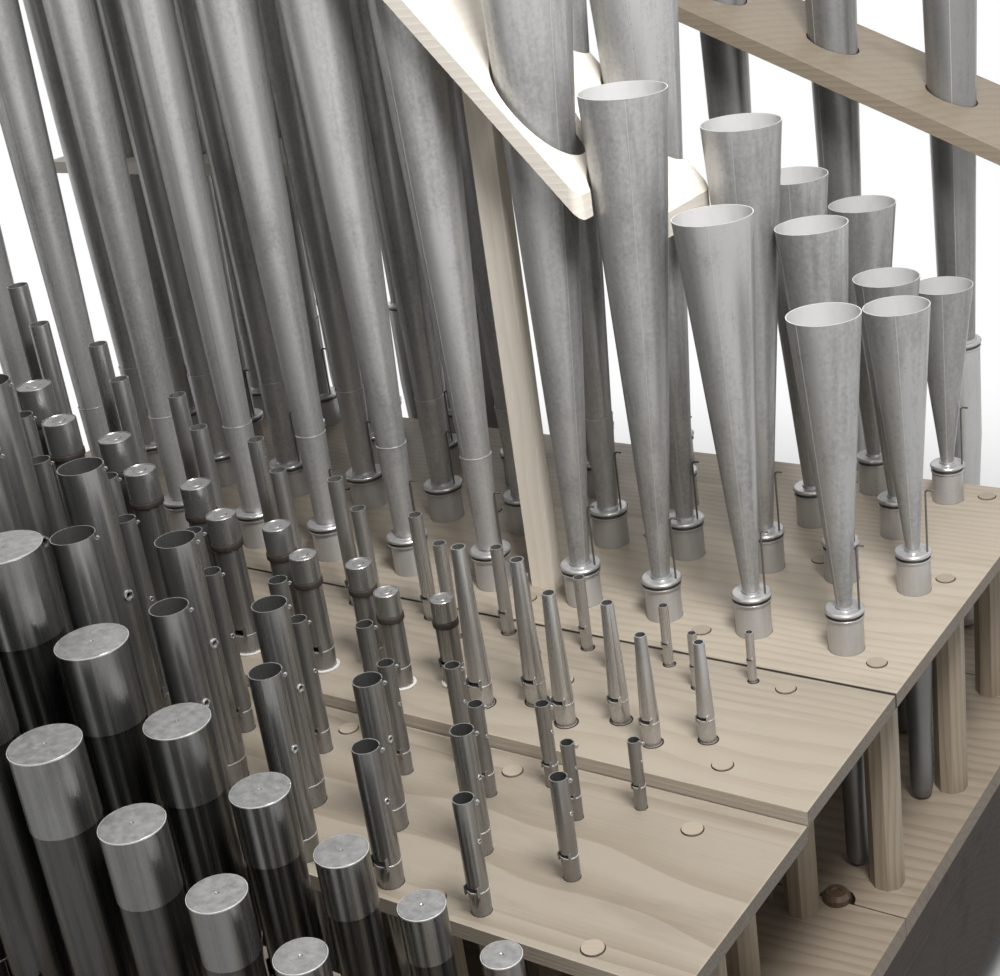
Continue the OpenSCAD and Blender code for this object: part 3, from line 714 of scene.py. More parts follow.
# Toe board wood: painted shade on faces that don't face up (sides), and end grain darker in itself
# and by painted shade (ends).
TOE_BOARD = Wood("toe_board_wood", (0.37, 0.305, 0.235), (0.19, 0.14, 0.092), plank=0.26,
                 ring=0.010, rough=0.5, wear=(0.36, 0.30, 0.235), soiled=0.3, sides=0.3, ends=0.5,
                 worn=0.25)
PILLAR = Wood("pillar_wood", (0.39, 0.32, 0.24), (0.20, 0.148, 0.10), grain=Grain.UP, ring=0.005,
              contrast=0.8, rough=0.5, knots=0.02, top=(0.365, 0.312, 0.245))
CHEST = Wood("stained_chest", (0.036, 0.024, 0.018), (0.013, 0.009, 0.007), ring=0.009,
             contrast=0.9, rough=0.55, wear=(0.10, 0.066, 0.045), gloss=0.15)
BEARER = Wood("bearer_wood", (0.050, 0.035, 0.026), (0.020, 0.013, 0.010), grain=Grain.DEEP,
              ring=0.010, rough=0.6, wear=(0.12, 0.084, 0.06), gloss=0.15)
TURNED = Wood("turned_wood", (0.115, 0.078, 0.05), (0.055, 0.035, 0.022), grain=Grain.UP, ring=0.004,
              rough=0.3)
RACK = Wood("rack_wood", (0.80, 0.745, 0.665), (0.64, 0.56, 0.46), ring=0.008, contrast=0.35,
            rough=0.45, knots=0.02)
# The bass rack's wood is darkened: painted shade.
SHADED_BASS_RACK = Wood("shaded_bass_rack_wood", (0.28, 0.23, 0.17), (0.17, 0.13, 0.09), ring=0.008,
                 contrast=0.5, rough=0.5, knots=0.02)
# The posts' wood is lightened: painted light.
LIT_POST = Wood("lit_post_wood", (0.84, 0.77, 0.67), (0.66, 0.57, 0.45), grain=Grain.UP, ring=0.007,
            contrast=0.45, rough=0.48, knots=0.02)
FLUE = PipeMetal("flue_metal", (0.30, 0.296, 0.29), (0.10, 0.098, 0.095), rough=0.28,
                 metal=0.85, tarnish=0.6, planing=0.9, foot=0.683)
SMALL_FLUE = replace(FLUE, name="small_flue_metal", bright=(0.50, 0.494, 0.485),
                     dull=(0.20, 0.197, 0.192))
# Stopped pipes and their caps: strong upright streaks, planing marks and painted reflections.
STOPPED = PipeMetal("stopped_metal", (0.075, 0.0735, 0.071), (0.016, 0.0156, 0.015), rough=0.25,
                    metal=0.9, tarnish=0.6, planing=1.9)
FLUTE_CAP = PipeMetal("flute_cap_metal", (0.40, 0.396, 0.39), (0.19, 0.187, 0.184), rough=0.27,
                      metal=0.85, planing=0.6)
# The caps' flat tops are painted pale: painted light.
CAP = PipeMetal("cap_metal", (0.20, 0.198, 0.194), (0.075, 0.0735, 0.0715), rough=0.25, metal=0.9,
                tarnish=0.6, planing=1.3, lid=(0.56, 0.555, 0.545))
# Resonators: painted light inside the bells and painted shade on faces that lean over.
CONE = PipeMetal("resonator_metal", (0.47, 0.466, 0.46), (0.19, 0.188, 0.185), rough=0.36,
                 metal=0.5, tarnish=0.75, mottle=0.85, planing=0.9, dents=0.0008,
                 inside=(0.56, 0.553, 0.545), under=0.35)
# Bass resonators: painted light inside the bells.
BASS_TUBE = PipeMetal("bass_resonator_metal", (0.27, 0.267, 0.263), (0.11, 0.108, 0.106),
                      rough=0.34, metal=0.6, tarnish=0.7, mottle=0.7, planing=1.0, dents=0.0008,
                      inside=(0.34, 0.336, 0.33))
# Boots are painted darker below the boards: painted shade.
BOOT = PipeMetal("boot_metal", (0.52, 0.515, 0.51), (0.28, 0.277, 0.274), rough=0.36, metal=0.5,
                 tarnish=0.45, planing=0.5, sunk=0.655)
BASS_BOOT = replace(BOOT, name="bass_boot_metal", sunk=0.0)
# The blocks' grooves are painted dark: painted shade.
CAST = PipeMetal("cast_lead", (0.50, 0.495, 0.49), (0.24, 0.237, 0.234), rough=0.30, metal=0.8,
                 tarnish=0.5, dents=0.0001, turned=True,
                 shaded_grooves=((-0.0010, 0.0008), (0.0028, 0.0066)))
SOLDER = PipeMetal("solder", (0.52, 0.515, 0.505), (0.28, 0.277, 0.27), rough=0.34, metal=0.7,
                   tarnish=0.4, planing=0.0, mottle=0.6, dents=0.0)
SEAM = PipeMetal("seam_metal", (0.44, 0.436, 0.43), (0.26, 0.257, 0.253), rough=0.40, metal=0.35,
                 tarnish=0.5, planing=0.0, mottle=0.6, dents=0.0)
WIRE = PipeMetal("drawn_wire", (0.17, 0.16, 0.145), (0.07, 0.063, 0.055), rough=0.32, metal=0.7,
                 tarnish=0.5, dents=0.0)
# Painted shade for the gaps round the smallest pipes' feet and round the pegs.
GAP_SHADE = Soft("painted_gap_shade", (0.022, 0.016, 0.012), (0.007, 0.005, 0.004), 0.0012, 0.95)
FELT = Soft("white_felt", (0.82, 0.80, 0.76), (0.55, 0.52, 0.47), 0.0005, 0.95)
LEATHER = Soft("cap_leather", (0.060, 0.045, 0.035), (0.020, 0.014, 0.011), 0.0009, 0.66)


class Bench:
    """Where a new piece is modelled: a primitive that starts alone and is worked on by hand."""

    def __init__(self, name: str) -> None:
        """Clears the bench.

        Args:
            name: The piece's name.
        """
        self.name = name
        bpy.ops.object.select_all(action="DESELECT")

    def take(self) -> None:
        """Names the primitive that was just added and opens it for editing."""
        self.piece = bpy.context.object
        self.piece.name = self.name
        bpy.ops.object.mode_set(mode="EDIT")

    def pick(self, kind: str, test: Callable[[Vector], bool]) -> None:
        """Selects the vertices or edges whose middle passes a test.

        Args:
            kind: VERT or EDGE.
            test: The test of a middle, in metres from the bench's middle.
        """
        bpy.ops.mesh.select_mode(type=kind)
        bpy.ops.mesh.select_all(action="DESELECT")
        mesh = bmesh.from_edit_mesh(self.piece.data)
        for edge in mesh.edges if kind == "EDGE" else ():
            edge.select_set(test((edge.verts[0].co + edge.verts[1].co) / 2.0))
        for vertex in mesh.verts if kind == "VERT" else ():
            vertex.select_set(test(vertex.co))
        mesh.select_flush_mode()
        bmesh.update_edit_mesh(self.piece.data)

    def done(self, angle: float = 40.0) -> bpy.types.Object:
        """Closes the piece, with its place in its mesh.

        Args:
            angle: Edges sharper than this many degrees stay sharp.

        Returns:
            The piece.
        """
        bpy.ops.object.mode_set(mode="OBJECT")
        bpy.ops.object.transform_apply(location=True, rotation=True, scale=True)
        bpy.ops.object.shade_smooth_by_angle(angle=math.radians(angle))
        return self.piece


def read_places(mesh: bpy.types.Mesh) -> np.ndarray:
    """Reads a mesh's vertices as rows of three."""
    places = np.empty(len(mesh.vertices) * 3)
    mesh.vertices.foreach_get("co", places)
    return places.reshape(-1, 3)


def turned(name: str, radius: float, width: float, height: float, steps: int = 36,
           rounds: int = 2) -> bpy.types.Object:
    """Turns a ring with rounded outer corners, standing on z = 0.

    Args:
        name: The ring's name.
        radius: Its inner radius.
        width: How far it stands out from there.
        height: Its height.
        steps: Its number of sides.
        rounds: Segments of a rounded corner.

    Returns:
        The ring.
    """
    bench = Bench(name)
    bpy.ops.mesh.primitive_plane_add(size=1.0)
    bench.take()
    bpy.ops.transform.resize(value=(width, height, 1.0))
    bench.pick("VERT", lambda place: place.x > 0.0)
    bpy.ops.mesh.bevel(affect="VERTICES", offset=CORNER * min(width, height), segments=rounds)
    bpy.ops.mesh.select_all(action="SELECT")
    bpy.ops.transform.rotate(value=-math.pi / 2.0, orient_axis="X", center_override=(0.0, 0.0, 0.0))
    bpy.ops.transform.translate(value=(radius + width / 2.0, 0.0, height / 2.0))
    bpy.ops.mesh.delete(type="ONLY_FACE")
    bpy.ops.mesh.select_all(action="SELECT")
    bpy.ops.mesh.spin(steps=steps, angle=math.tau, center=(0.0, 0.0, 0.0), axis=(0.0, 0.0, 1.0))
    bpy.ops.mesh.select_all(action="SELECT")
    bpy.ops.mesh.remove_doubles(threshold=MERGE)
    bpy.ops.mesh.normals_make_consistent(inside=False)
    return bench.done()


def copied(pattern: bpy.types.Object, shapes: list[Shape], finish: Finish) -> bpy.types.Object:
    """Makes one piece of a pattern's copies, each with its own mesh.

    Args:
        pattern: The piece that repeats, modelled once at the middle of the bench.
        shapes: What takes the pattern's vertices to their place in each copy.
        finish: The finish.

    Returns:
        The joined piece.
    """
    name = pattern.name
    copies = []
    for shape in shapes:
        copy = pattern.copy()
        copy.data = pattern.data.copy()
        copy.data.vertices.foreach_set("co", shape(read_places(copy.data)).ravel())
        copy.data.update()
        bpy.context.scene.collection.objects.link(copy)
        copies.append(copy)
    bpy.data.objects.remove(pattern)
    bpy.ops.object.select_all(action="DESELECT")
    for copy in copies:
        copy.select_set(True)
    bpy.context.view_layer.objects.active = copies[0]
    bpy.ops.object.join()
    piece = bpy.context.object
    piece.name = name
    corners = read_places(piece.data)
    piece.data.materials.clear()
    piece.data.materials.append(finish.material(Vector(corners.min(axis=0)),
                                                Vector(corners.max(axis=0))))
    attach(piece, "root")
    log.info("%s: %d copies, %d faces", name, len(copies), len(piece.data.polygons))
    return piece


@dataclass
class Solid:
    """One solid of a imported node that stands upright.

    Attributes:
        points: Its vertices.
    """

    points: np.ndarray

    @property
    def low(self) -> float:
        """Height of its lower end."""
        return float(self.points[:, 2].min())

    @property
    def high(self) -> float:
        """Height of its upper end."""
        return float(self.points[:, 2].max())

    def middle(self, height: float) -> tuple[float, float]:
        """Gives its middle near a height, from its back and its two sides.

        Args:
            height: The height.

        Returns:
            X and Y of the middle.
        """
        ring = self.ring(height)
        left, right = ring[:, 0].min(), ring[:, 0].max()
        return float(left + right) / 2.0, float(ring[:, 1].max() - (right - left) / 2.0)

    def ring(self, height: float, reach: float = 0.0012) -> np.ndarray:
        """Gives the vertices near a height, or those at the nearest one that has any.

        Args:
            height: The height.
            reach: How near they are.

        Returns:
            The vertices.
        """
        away = abs(self.points[:, 2] - height)
        return self.points[away <= away.min() + reach]

    def radius(self, height: float) -> float:
        """Gives its radius at a height where it has vertices.

        Args:
            height: The height.

        Returns:
            Half its width.
        """
        ring = self.ring(height)
        return float(ring[:, 0].max() - ring[:, 0].min()) / 2.0

    def end(self, height: float, reach: float) -> tuple[np.ndarray, float]:
        """Gives the round end of a tube that may lean.

        Args:
            height: The height of the end.
            reach: How far the end's vertices lie apart in height.

        Returns:
            The end's middle and its outer radius.
        """
        ring = self.ring(height, reach)
        middle = ring.mean(axis=0)
        return middle, float(np.linalg.norm(ring - middle, axis=1).max())


def solids(node: bpy.types.Object) -> list[Solid]:
    """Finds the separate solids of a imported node, from the treble end on.

    Args:
        node: The node.

    Returns:
        Its solids.
    """
    mesh = node.data
    places = read_places(mesh)
    merged, label = np.unique(np.round(places, MERGE_DIGITS), axis=0, return_inverse=True)
    mesh.calc_loop_triangles()
    corners = np.empty(len(mesh.loop_triangles) * 3, dtype=np.int32)
    mesh.loop_triangles.foreach_get("vertices", corners)
    corners = label.ravel()[corners].reshape(-1, 3)
    group = np.arange(len(merged))
    while True:
        lowest = np.repeat(group[corners].min(axis=1), 3)
        joined = group.copy()
        np.minimum.at(joined, corners.ravel(), lowest)
        joined = joined[joined]
        if (joined == group).all():
            break
        group = joined
    found = [Solid(merged[group == number]) for number in np.unique(group)]
    return sorted(found, key=lambda solid: -solid.points[:, 0].mean())


def round_at(place: tuple[float, float, float], gain: float) -> Shape:
    """Gives what widens a ring by a gain in radius and takes it to a place.

    Args:
        place: The place of the ring's middle at its foot.
        gain: What its radius grows by.

    Returns:
        The function on vertices.
    """
    def shape(points: np.ndarray) -> np.ndarray:
        """Widens and moves a ring."""
        radius = np.hypot(points[:, 0], points[:, 1])
        share = 1.0 + gain / radius
        return points * np.stack([share, share, np.ones(len(points))], axis=1) + np.array(place)

    return shape


@dataclass
class SolderRings:
    """Beads of solder round tubes, where a foot meets a body or a tube stands in its socket.

    Attributes:
        reach: How far a bead stands out.
        height: Its height.
        sunk: How far it sits in the tube's wall.
        model: Inner radius of the bead that is modelled once.
    """

    reach: float = 0.0005
    height: float = 0.0016
    sunk: float = 0.0004
    model: float = 0.02

    def build(self, name: str, tubes: list[tuple[Solid, float]]) -> None:
        """Makes the beads of one rank.

        Args:
            name: The piece's name.
            tubes: Each tube and the height of its bead.
        """
        ring = turned(name, self.model, self.reach + self.sunk, self.height)
        shapes = []
        for tube, height in tubes:
            x, y = tube.middle(height)
            gain = tube.radius(height) - self.sunk - self.model
            shapes.append(round_at((x, y, height - self.height / 2.0), gain))
        copied(ring, shapes, SOLDER)


@dataclass
class ShadeRims:
    """Painted shade: thin dark rims in the gaps round the smallest pipes' feet, and dark lines round
    the pegs.

    Attributes:
        width: A rim's width.
        height: How far it stands out of the board.
        away: How far it lies off the hole's middle, towards the treble and the front.
        model: Inner radius of the rim that is modelled once.
    """

    width: float = 0.0020
    height: float = 0.00012
    away: float = 0.0008
    model: float = 0.01

    def build(self, name: str, posts: list[tuple[Solid, float, float]]) -> None:
        """Makes the rims round some feet or pegs.

        Args:
            name: The piece's name.
            posts: Each foot or peg, a height where it is round, and the height of its board's top.
        """
        ring = turned(name, self.model, self.width, self.height, steps=32)
        shapes = []
        for post, height, top in posts:
            x, y = post.middle(height)
            place = (x + self.away, y - self.away, top - self.height * 0.25)
            shapes.append(round_at(place, post.radius(height) - self.model))
        copied(ring, shapes, GAP_SHADE)


@dataclass
class Eyelets:
    """Raised, torn rims round the vent holes in the sides of open pipes.

    Attributes:
        hole: Radius of a vent hole as a share of its pipe's diameter.
        rim: Width of its rim, as such a share.
        proud: How far it stands out of the pipe, as such a share.
        flare: How much wider it is at its outer edge.
        share: Height of the hole as a share of the body's length.
        torn: How ragged its edge is.
        model: Radius of the pipe that the rim is modelled for.
    """

    hole: float = 0.075
    rim: float = 0.042
    proud: float = 0.045
    flare: float = 1.12
    share: float = 0.55
    torn: float = 0.07
    model: float = 0.01

    def build(self, name: str, tubes: list[Solid], foot: float) -> None:
        """Makes the rims of one rank.

        Args:
            name: The piece's name.
            tubes: Its pipes.
            foot: Height of the bodies' lower ends.
        """
        width = 2.0 * self.model
        ring = turned(name, self.hole * width, self.rim * width, self.depth, steps=24)
        shapes = []
        for tube in tubes:
            radius = tube.radius(tube.high)
            x, y = tube.middle(tube.high)
            height = foot + self.share * (tube.high - foot)
            middle = np.array([x + radius * (1.0 - 2.0 * self.proud), y, height])
            shapes.append(self.placed(middle, radius / self.model))
        copied(ring, shapes, SOLDER)

    @property
    def depth(self) -> float:
        """Length of the modelled rim, half of it inside the pipe."""
        return self.proud * (4.0 * self.model)

    def placed(self, middle: np.ndarray, size: float) -> Shape:
        """Gives what turns a ring to a pipe's side and tears its edge.

        Args:
            middle: Where its inner end's middle goes.
            size: How much larger it gets.

        Returns:
            The function on vertices.
        """
        def shape(points: np.ndarray) -> np.ndarray:
            """Flares, tears and places a ring."""
            out = points[:, 2] / self.depth
            angle = np.arctan2(points[:, 1], points[:, 0])
            rough = 1.0 + self.torn * np.sin(angle * 5.0 + middle[0] * 90.0) * out
            wide = (1.0 + (self.flare - 1.0) * out) * rough
            made = np.stack([points[:, 2] * rough, points[:, 0] * wide, points[:, 1] * wide], axis=1)
            return made * size + middle

        return shape


@dataclass
class TuningRolls:
    """Tongues cut from the tops of open pipes and rolled down to tune them.

    Attributes:
        turn: Where they lie round the pipe, in degrees from +X.
        down: How far under the pipe's top the roll lies.
        width: A tongue's width.
        thick: Its thickness.
        length: Its length.
        tight: Radius of the roll's core.
        loose: What the roll's radius grows by in a turn.
        turns: How many turns it has.
        cuts: How many times a tongue is cut across before it's rolled.
    """

    turn: float = 30.0
    down: float = 0.0055
    width: float = 0.0026
    thick: float = 0.0004
    length: float = 0.012
    tight: float = 0.0010
    loose: float = 0.0007
    turns: float = 1.5
    cuts: int = 17

    def build(self, name: str, tubes: list[Solid]) -> None:
        """Makes the rolls of one rank.

        Args:
            name: The piece's name.
            tubes: Its pipes.
        """
        bench = Bench(name)
        bpy.ops.mesh.primitive_cube_add(size=1.0)
        bench.take()
        bpy.ops.transform.resize(value=(self.thick, self.width, self.length))
        bench.pick("EDGE", lambda place: abs(place.z) < 0.1 * self.length)
        bpy.ops.mesh.subdivide(number_cuts=self.cuts)
        strip = bench.done(50.0)
        copied(strip, [self.rolled(tube) for tube in tubes], SOLDER)

    def rolled(self, tube: Solid) -> Shape:
        """Gives what rolls a strip up against a pipe's side.

        Args:
            tube: The pipe.

        Returns:
            The function on vertices.
        """
        turn = math.radians(self.turn)
        away = np.array([math.cos(turn), math.sin(turn), 0.0])
        side = np.array([-math.sin(turn), math.cos(turn), 0.0])
        x, y = tube.middle(tube.high)
        up = np.array([0.0, 0.0, 1.0])
        outer = self.tight + self.loose * self.turns
        out = tube.radius(tube.high) + outer * 0.8
        core = np.array([x, y, tube.high - self.down]) + away * out

        def shape(points: np.ndarray) -> np.ndarray:
            """Rolls the strip."""
            share = points[:, 2:3] / self.length + 0.5
            angle = share * self.turns * math.tau
            radius = self.tight + self.loose * share * self.turns + points[:, 0:1]
            rolled = radius * (up * np.sin(angle) - away * np.cos(angle))
            return core + rolled + side * points[:, 1:2]

        return shape


@dataclass
class Seams:
    """Soldered seams that run up the tubes.

    Attributes:
        width: A seam's width.
        proud: How far it stands out.
        turn: Where it lies round the tube, in degrees from +X.
        spread: How far that differs from tube to tube, in degrees.
        reach: How far the vertices of a leaning tube's end lie apart in height.
        short: The part of the tube's length that a seam leaves free at each end.
        cuts: How many times a seam is cut across.
    """

    width: float = 0.0011
    proud: float = 0.00016
    turn: float = 280.0
    spread: float = 80.0
    reach: float = 0.008
    short: float = 0.003
    cuts: int = 7

    def strip(self, name: str) -> bpy.types.Object:
        """Models a seam of unit length along Z, rounded at its sides.

        Args:
            name: Its name.

        Returns:
            The strip.
        """
        bench = Bench(name)
        bpy.ops.mesh.primitive_cube_add(size=1.0)
        bench.take()
        bpy.ops.transform.resize(value=(2.0 * self.proud, self.width, 1.0))
        bench.pick("EDGE", lambda place: place.x > 0.0 and abs(place.z) < 0.1)
        bpy.ops.mesh.bevel(affect="EDGES", offset=0.9 * self.proud, segments=2)
        bench.pick("EDGE", lambda place: abs(place.z) < 0.1)
        bpy.ops.mesh.subdivide(number_cuts=self.cuts)
        return bench.done(60.0)

    def build(self, name: str, tubes: list[Solid]) -> None:
        """Makes the seams of one rank.

        Args:
            name: The piece's name.
            tubes: Its tubes.
        """
        shapes = [self.laid(tube, number) for number, tube in enumerate(tubes)]
        copied(self.strip(name), shapes, SEAM)

    def laid(self, tube: Solid, number: int) -> Shape:
        """Gives what lays the strip along a tube's side.

        Args:
            tube: The tube.
            number: Its number, which turns its seam.

        Returns:
            The function on vertices.
        """
        start, thin = tube.end(tube.low, self.reach)
        stop, wide = tube.end(tube.high, self.reach)
        scatter = 2.0 * noise.noise((number * 3.7, 0.5, 0.5))
        turn = math.radians(self.turn + self.spread * scatter)
        axis = (stop - start) / np.linalg.norm(stop - start)
        side = np.cross(axis, np.array([math.cos(turn), math.sin(turn), 0.0]))
        side = side / np.linalg.norm(side)
        away = np.cross(side, axis)

        def shape(points: np.ndarray) -> np.ndarray:
            """Lays the strip."""
            share = 0.5 + points[:, 2:3] * (1.0 - 2.0 * self.short)
            radius = thin + (wide - thin) * share
            middle = start + (stop - start) * share
            return middle + away * (radius + points[:, 0:1]) + side * points[:, 1:2]

        return shape


def thickness(ring: Solid) -> float:
    """Measures a packed ring's width from its inner to its outer edge."""
    x, y = ring.middle(ring.low)
    reach = np.hypot(ring.points[:, 0] - x, ring.points[:, 1] - y)
    return float(reach.max() - reach.min())


@dataclass
class Felts:
    """White felt rings round the flutes' feet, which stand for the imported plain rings.

    Attributes:
        fuzz: How ragged a ring's surface is.
        fibres: Tufts per metre.
        seed: What the tufts' directions are drawn from, so that each run draws the same ones.
        sag: How far its frayed parts may hang under its plain form.
        bed: Height up to which a ring's inner wall stays plain.
        wall: Radius on the modelled ring past which it's frayed all over.
        model: Inner radius of the ring that is modelled once.
    """

    fuzz: float = 0.0005
    fibres: float = 900.0
    seed: int = 1
    sag: float = 0.0004
    bed: float = 0.0005
    wall: float = 0.0125
    model: float = 0.01

    def build(self, packed: bpy.types.Object) -> None:
        """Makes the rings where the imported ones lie.

        Args:
            packed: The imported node.
        """
        noise.seed_set(self.seed)
        rings = solids(packed)
        width = thickness(rings[0])
        height = rings[0].high - rings[0].low
        pattern = turned("felt_rings", self.model, width, height * 1.1, steps=72, rounds=3)
        shapes = []
        for number, ring in enumerate(rings):
            x, y = ring.middle(ring.low)
            gain = ring.radius(ring.low) - width - self.model
            shapes.append(self.ragged(round_at((x, y, ring.low), gain), number))
        piece = copied(pattern, shapes, FELT)
        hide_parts("flute_felts")

    def ragged(self, shape: Shape, number: int) -> Shape:
        """Adds raggedness to a ring's shape.

        Args:
            shape: What places the ring.
            number: The ring's number, which makes it differ from the others.

        Returns:
            The new function on vertices.
        """
        def frayed(points: np.ndarray) -> np.ndarray:
            """Places a ring and frays its outer parts."""
            moved = shape(points)
            for row in range(len(moved)):
                away = np.hypot(points[row, 0], points[row, 1])
                if points[row, 2] > self.bed or away > self.wall:
                    spot = Vector(moved[row]) * self.fibres + Vector((number, 0.0, 0.0))
                    tuft = np.array(noise.noise_vector(spot)) * self.fuzz
                    plain = shape(points[row:row + 1])[0, 2]
                    moved[row] += tuft * np.array([1.0, 1.0, 0.5])
                    moved[row, 2] = max(moved[row, 2], plain - self.sag)
            return moved

        return frayed


@dataclass
class Bands:
    """Leather bands under the flutes' caps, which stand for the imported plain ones.

    Attributes:
        bulge: How far a band swells between its edges.
        proud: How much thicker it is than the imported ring.
        lower: How far it reaches down over the pipe, as a share of its height.
        lap: Length of the glued overlap, in radians.
        thick: How far the overlap stands out.
        start: Where the overlap starts, in radians round the pipe short of +X.
        model: Inner radius of the band that is modelled once.
    """

    bulge: float = 0.0009
    proud: float = 0.0007
    lower: float = 0.3
    lap: float = 0.35
    thick: float = 0.0007
    start: float = 0.9
    model: float = 0.013

    def build(self, packed: bpy.types.Object) -> None:
        """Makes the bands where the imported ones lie.

        Args:
            packed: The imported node.
        """
        rings = solids(packed)
        wall = thickness(rings[0])
        width = wall + self.proud
        height = (rings[0].high - rings[0].low) * (1.0 + self.lower)
        pattern = turned("cap_bands", self.model, width, height, steps=64, rounds=3)
        shapes = []
        for ring in rings:
            x, y = ring.middle(ring.low)
            gain = ring.radius(ring.low) - wall - self.model
            plain = round_at((x, y, ring.high - height), gain)
            shapes.append(self.lapped(plain, self.model + width / 2.0, height))
        piece = copied(pattern, shapes, LEATHER)
        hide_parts("flute_bands")

    def lapped(self, shape: Shape, inner: float, height: float) -> Shape:
        """Adds the overlap and the swelling to a band's shape.

        Args:
            shape: What places the band.
            inner: Radius past which a vertex is on the outside.
            height: The band's height.

        Returns:
            The new function on vertices.
        """
        def glued(points: np.ndarray) -> np.ndarray:
            """Swells a band and laps its ends."""
            radius = np.hypot(points[:, 0], points[:, 1])
            angle = np.arctan2(points[:, 1], points[:, 0]) + self.start
            outside = radius > inner
            lap = np.where((angle > 0.0) & (angle < self.lap), self.thick, 0.0)
            swell = self.bulge * np.sin(np.pi * np.clip(points[:, 2] / height, 0.0, 1.0))
            share = 1.0 + np.where(outside, lap + swell, 0.0) / radius
            return shape(points * np.stack([share, share, np.ones(len(points))], axis=1))

        return glued


def dress(node: str, piece: bpy.types.Object, finish: Finish) -> None:
    """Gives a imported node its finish.

    Args:
        node: The node's name.
        piece: Its object.
        finish: The finish.
    """
    low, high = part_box(node)
    made = finish.material(Vector(low), Vector(high))
    for number in range(len(piece.material_slots)):
        piece.material_slots[number].material = made
    log.info("%s wears %s", node, made.name)


@dataclass(frozen=True)
class Lamp:
    """A square lamp.

    Attributes:
        name: Its name.
        place: Where it hangs.
        target: What it points at.
        size: The length of its side.
        watts: Its power.
    """

    name: str
    place: tuple[float, float, float]
    target: tuple[float, float, float]
    size: float
    watts: float

    def hang(self) -> None:
        """Hangs the lamp where the camera doesn't see it."""
        data = bpy.data.lights.new(self.name, "AREA")
        data.size = self.size
        data.energy = self.watts
        made = bpy.data.objects.new(self.name, data)
        made.visible_camera = False
        bpy.context.scene.collection.objects.link(made)
        aim = Vector(self.target) - Vector(self.place)
        made.matrix_world = (Matrix.Translation(self.place)
                             @ aim.to_track_quat("-Z", "Y").to_matrix().to_4x4())


LAMPS = (
    Lamp("key", (1.2, -0.6, 2.35), (0.1, 0.1, 0.9), 0.5, 41.0),
    Lamp("left", (-3.2, -2.6, 3.4), (-0.1, 0.0, 1.2), 1.8, 8.0),
    Lamp("back", (-2.0, 3.2, 3.2), (-0.1, 0.2, 1.1), 2.0, 22.0),
    Lamp("top", (0.5, 0.5, 5.2), (0.2, 0.3, 0.7), 1.6, 50.0),
)


@dataclass
class Studio:
    """The camera, the lamps, the floor and the pale surroundings.

    Attributes:
        eye: The camera's place.
        right: Its right-hand direction.
        down: Its downward direction.
        ahead: The direction that it looks in.
        lens: Its focal length in millimetres.
        fill: Strength of the even light from all round.
    """

    eye: tuple[float, float, float] = (1.3227, -1.3821, 1.592)
    right: tuple[float, float, float] = (0.82515955, 0.54883716, -0.13375161)
    down: tuple[float, float, float] = (0.1176563, -0.39855398, -0.90956678)
    ahead: tuple[float, float, float] = (-0.55251128, 0.73480099, -0.39344477)
    lens: float = 58.62
    fill: float = 0.19

    def camera(self) -> None:
        """Sets the camera up."""
        data = bpy.data.cameras.new("camera")
        data.lens = self.lens
        data.sensor_width = 36.0
        data.clip_start = 0.02
        made = bpy.data.objects.new("camera", data)
        bpy.context.scene.collection.objects.link(made)
        axes = Matrix((self.right, [-part for part in self.down], [-part for part in self.ahead]))
        made.matrix_world = Matrix.Translation(self.eye) @ axes.transposed().to_4x4()
        bpy.context.scene.camera = made

    def world(self) -> None:
        """Lights the scene evenly and shows a white background."""
        world = bpy.data.worlds.new("studio")
        bpy.context.scene.world = world
        world.use_nodes = True
        nodes = Nodes(world.node_tree)
        shown = nodes.seen()
        plain, white = [nodes.node("ShaderNodeBackground", {}, {"Strength": strength,
                                                                "Color": WHITE})
                        for strength in (self.fill, 1.0)]
        both = nodes.node("ShaderNodeMixShader", {}, {0: shown, 1: plain, 2: white})
        end = nodes.tree.nodes.new("ShaderNodeOutputWorld")
        nodes.tree.links.new(both.socket, end.inputs[0])

    def floor(self) -> None:
        """Lays a pale floor that keeps the shadow."""
        bpy.ops.object.select_all(action="DESELECT")
        bpy.ops.mesh.primitive_plane_add(size=60.0, location=(0.0, 0.0, 0.0))
        floor = bpy.context.object
        floor.name = "studio_floor"
        graph = Graph("studio_floor")
        tint = graph.noise((0.8, 0.8, 0.8), 2.0)
        graph.set(Base_Color=graph.blend(tint * 0.1, (0.86, 0.86, 0.85), (0.82, 0.82, 0.81)),
                  Roughness=0.9 + tint * 0.05)
        away = (graph.along(0) * graph.along(0) + graph.along(1) * graph.along(1)) ** 0.5
        white = graph.seen() * away.rise(1.1, 2.6)
        graph.finish_with(white, "ShaderNodeEmission", {"Color": WHITE})
        floor.data.materials.append(graph.material)

    def build(self) -> None:
        """Builds the studio."""
        self.camera()
        self.world()
        self.floor()
        for lamp in LAMPS:
            lamp.hang()
        bpy.context.scene.view_settings.view_transform = "Standard"
        log.info("studio is set")


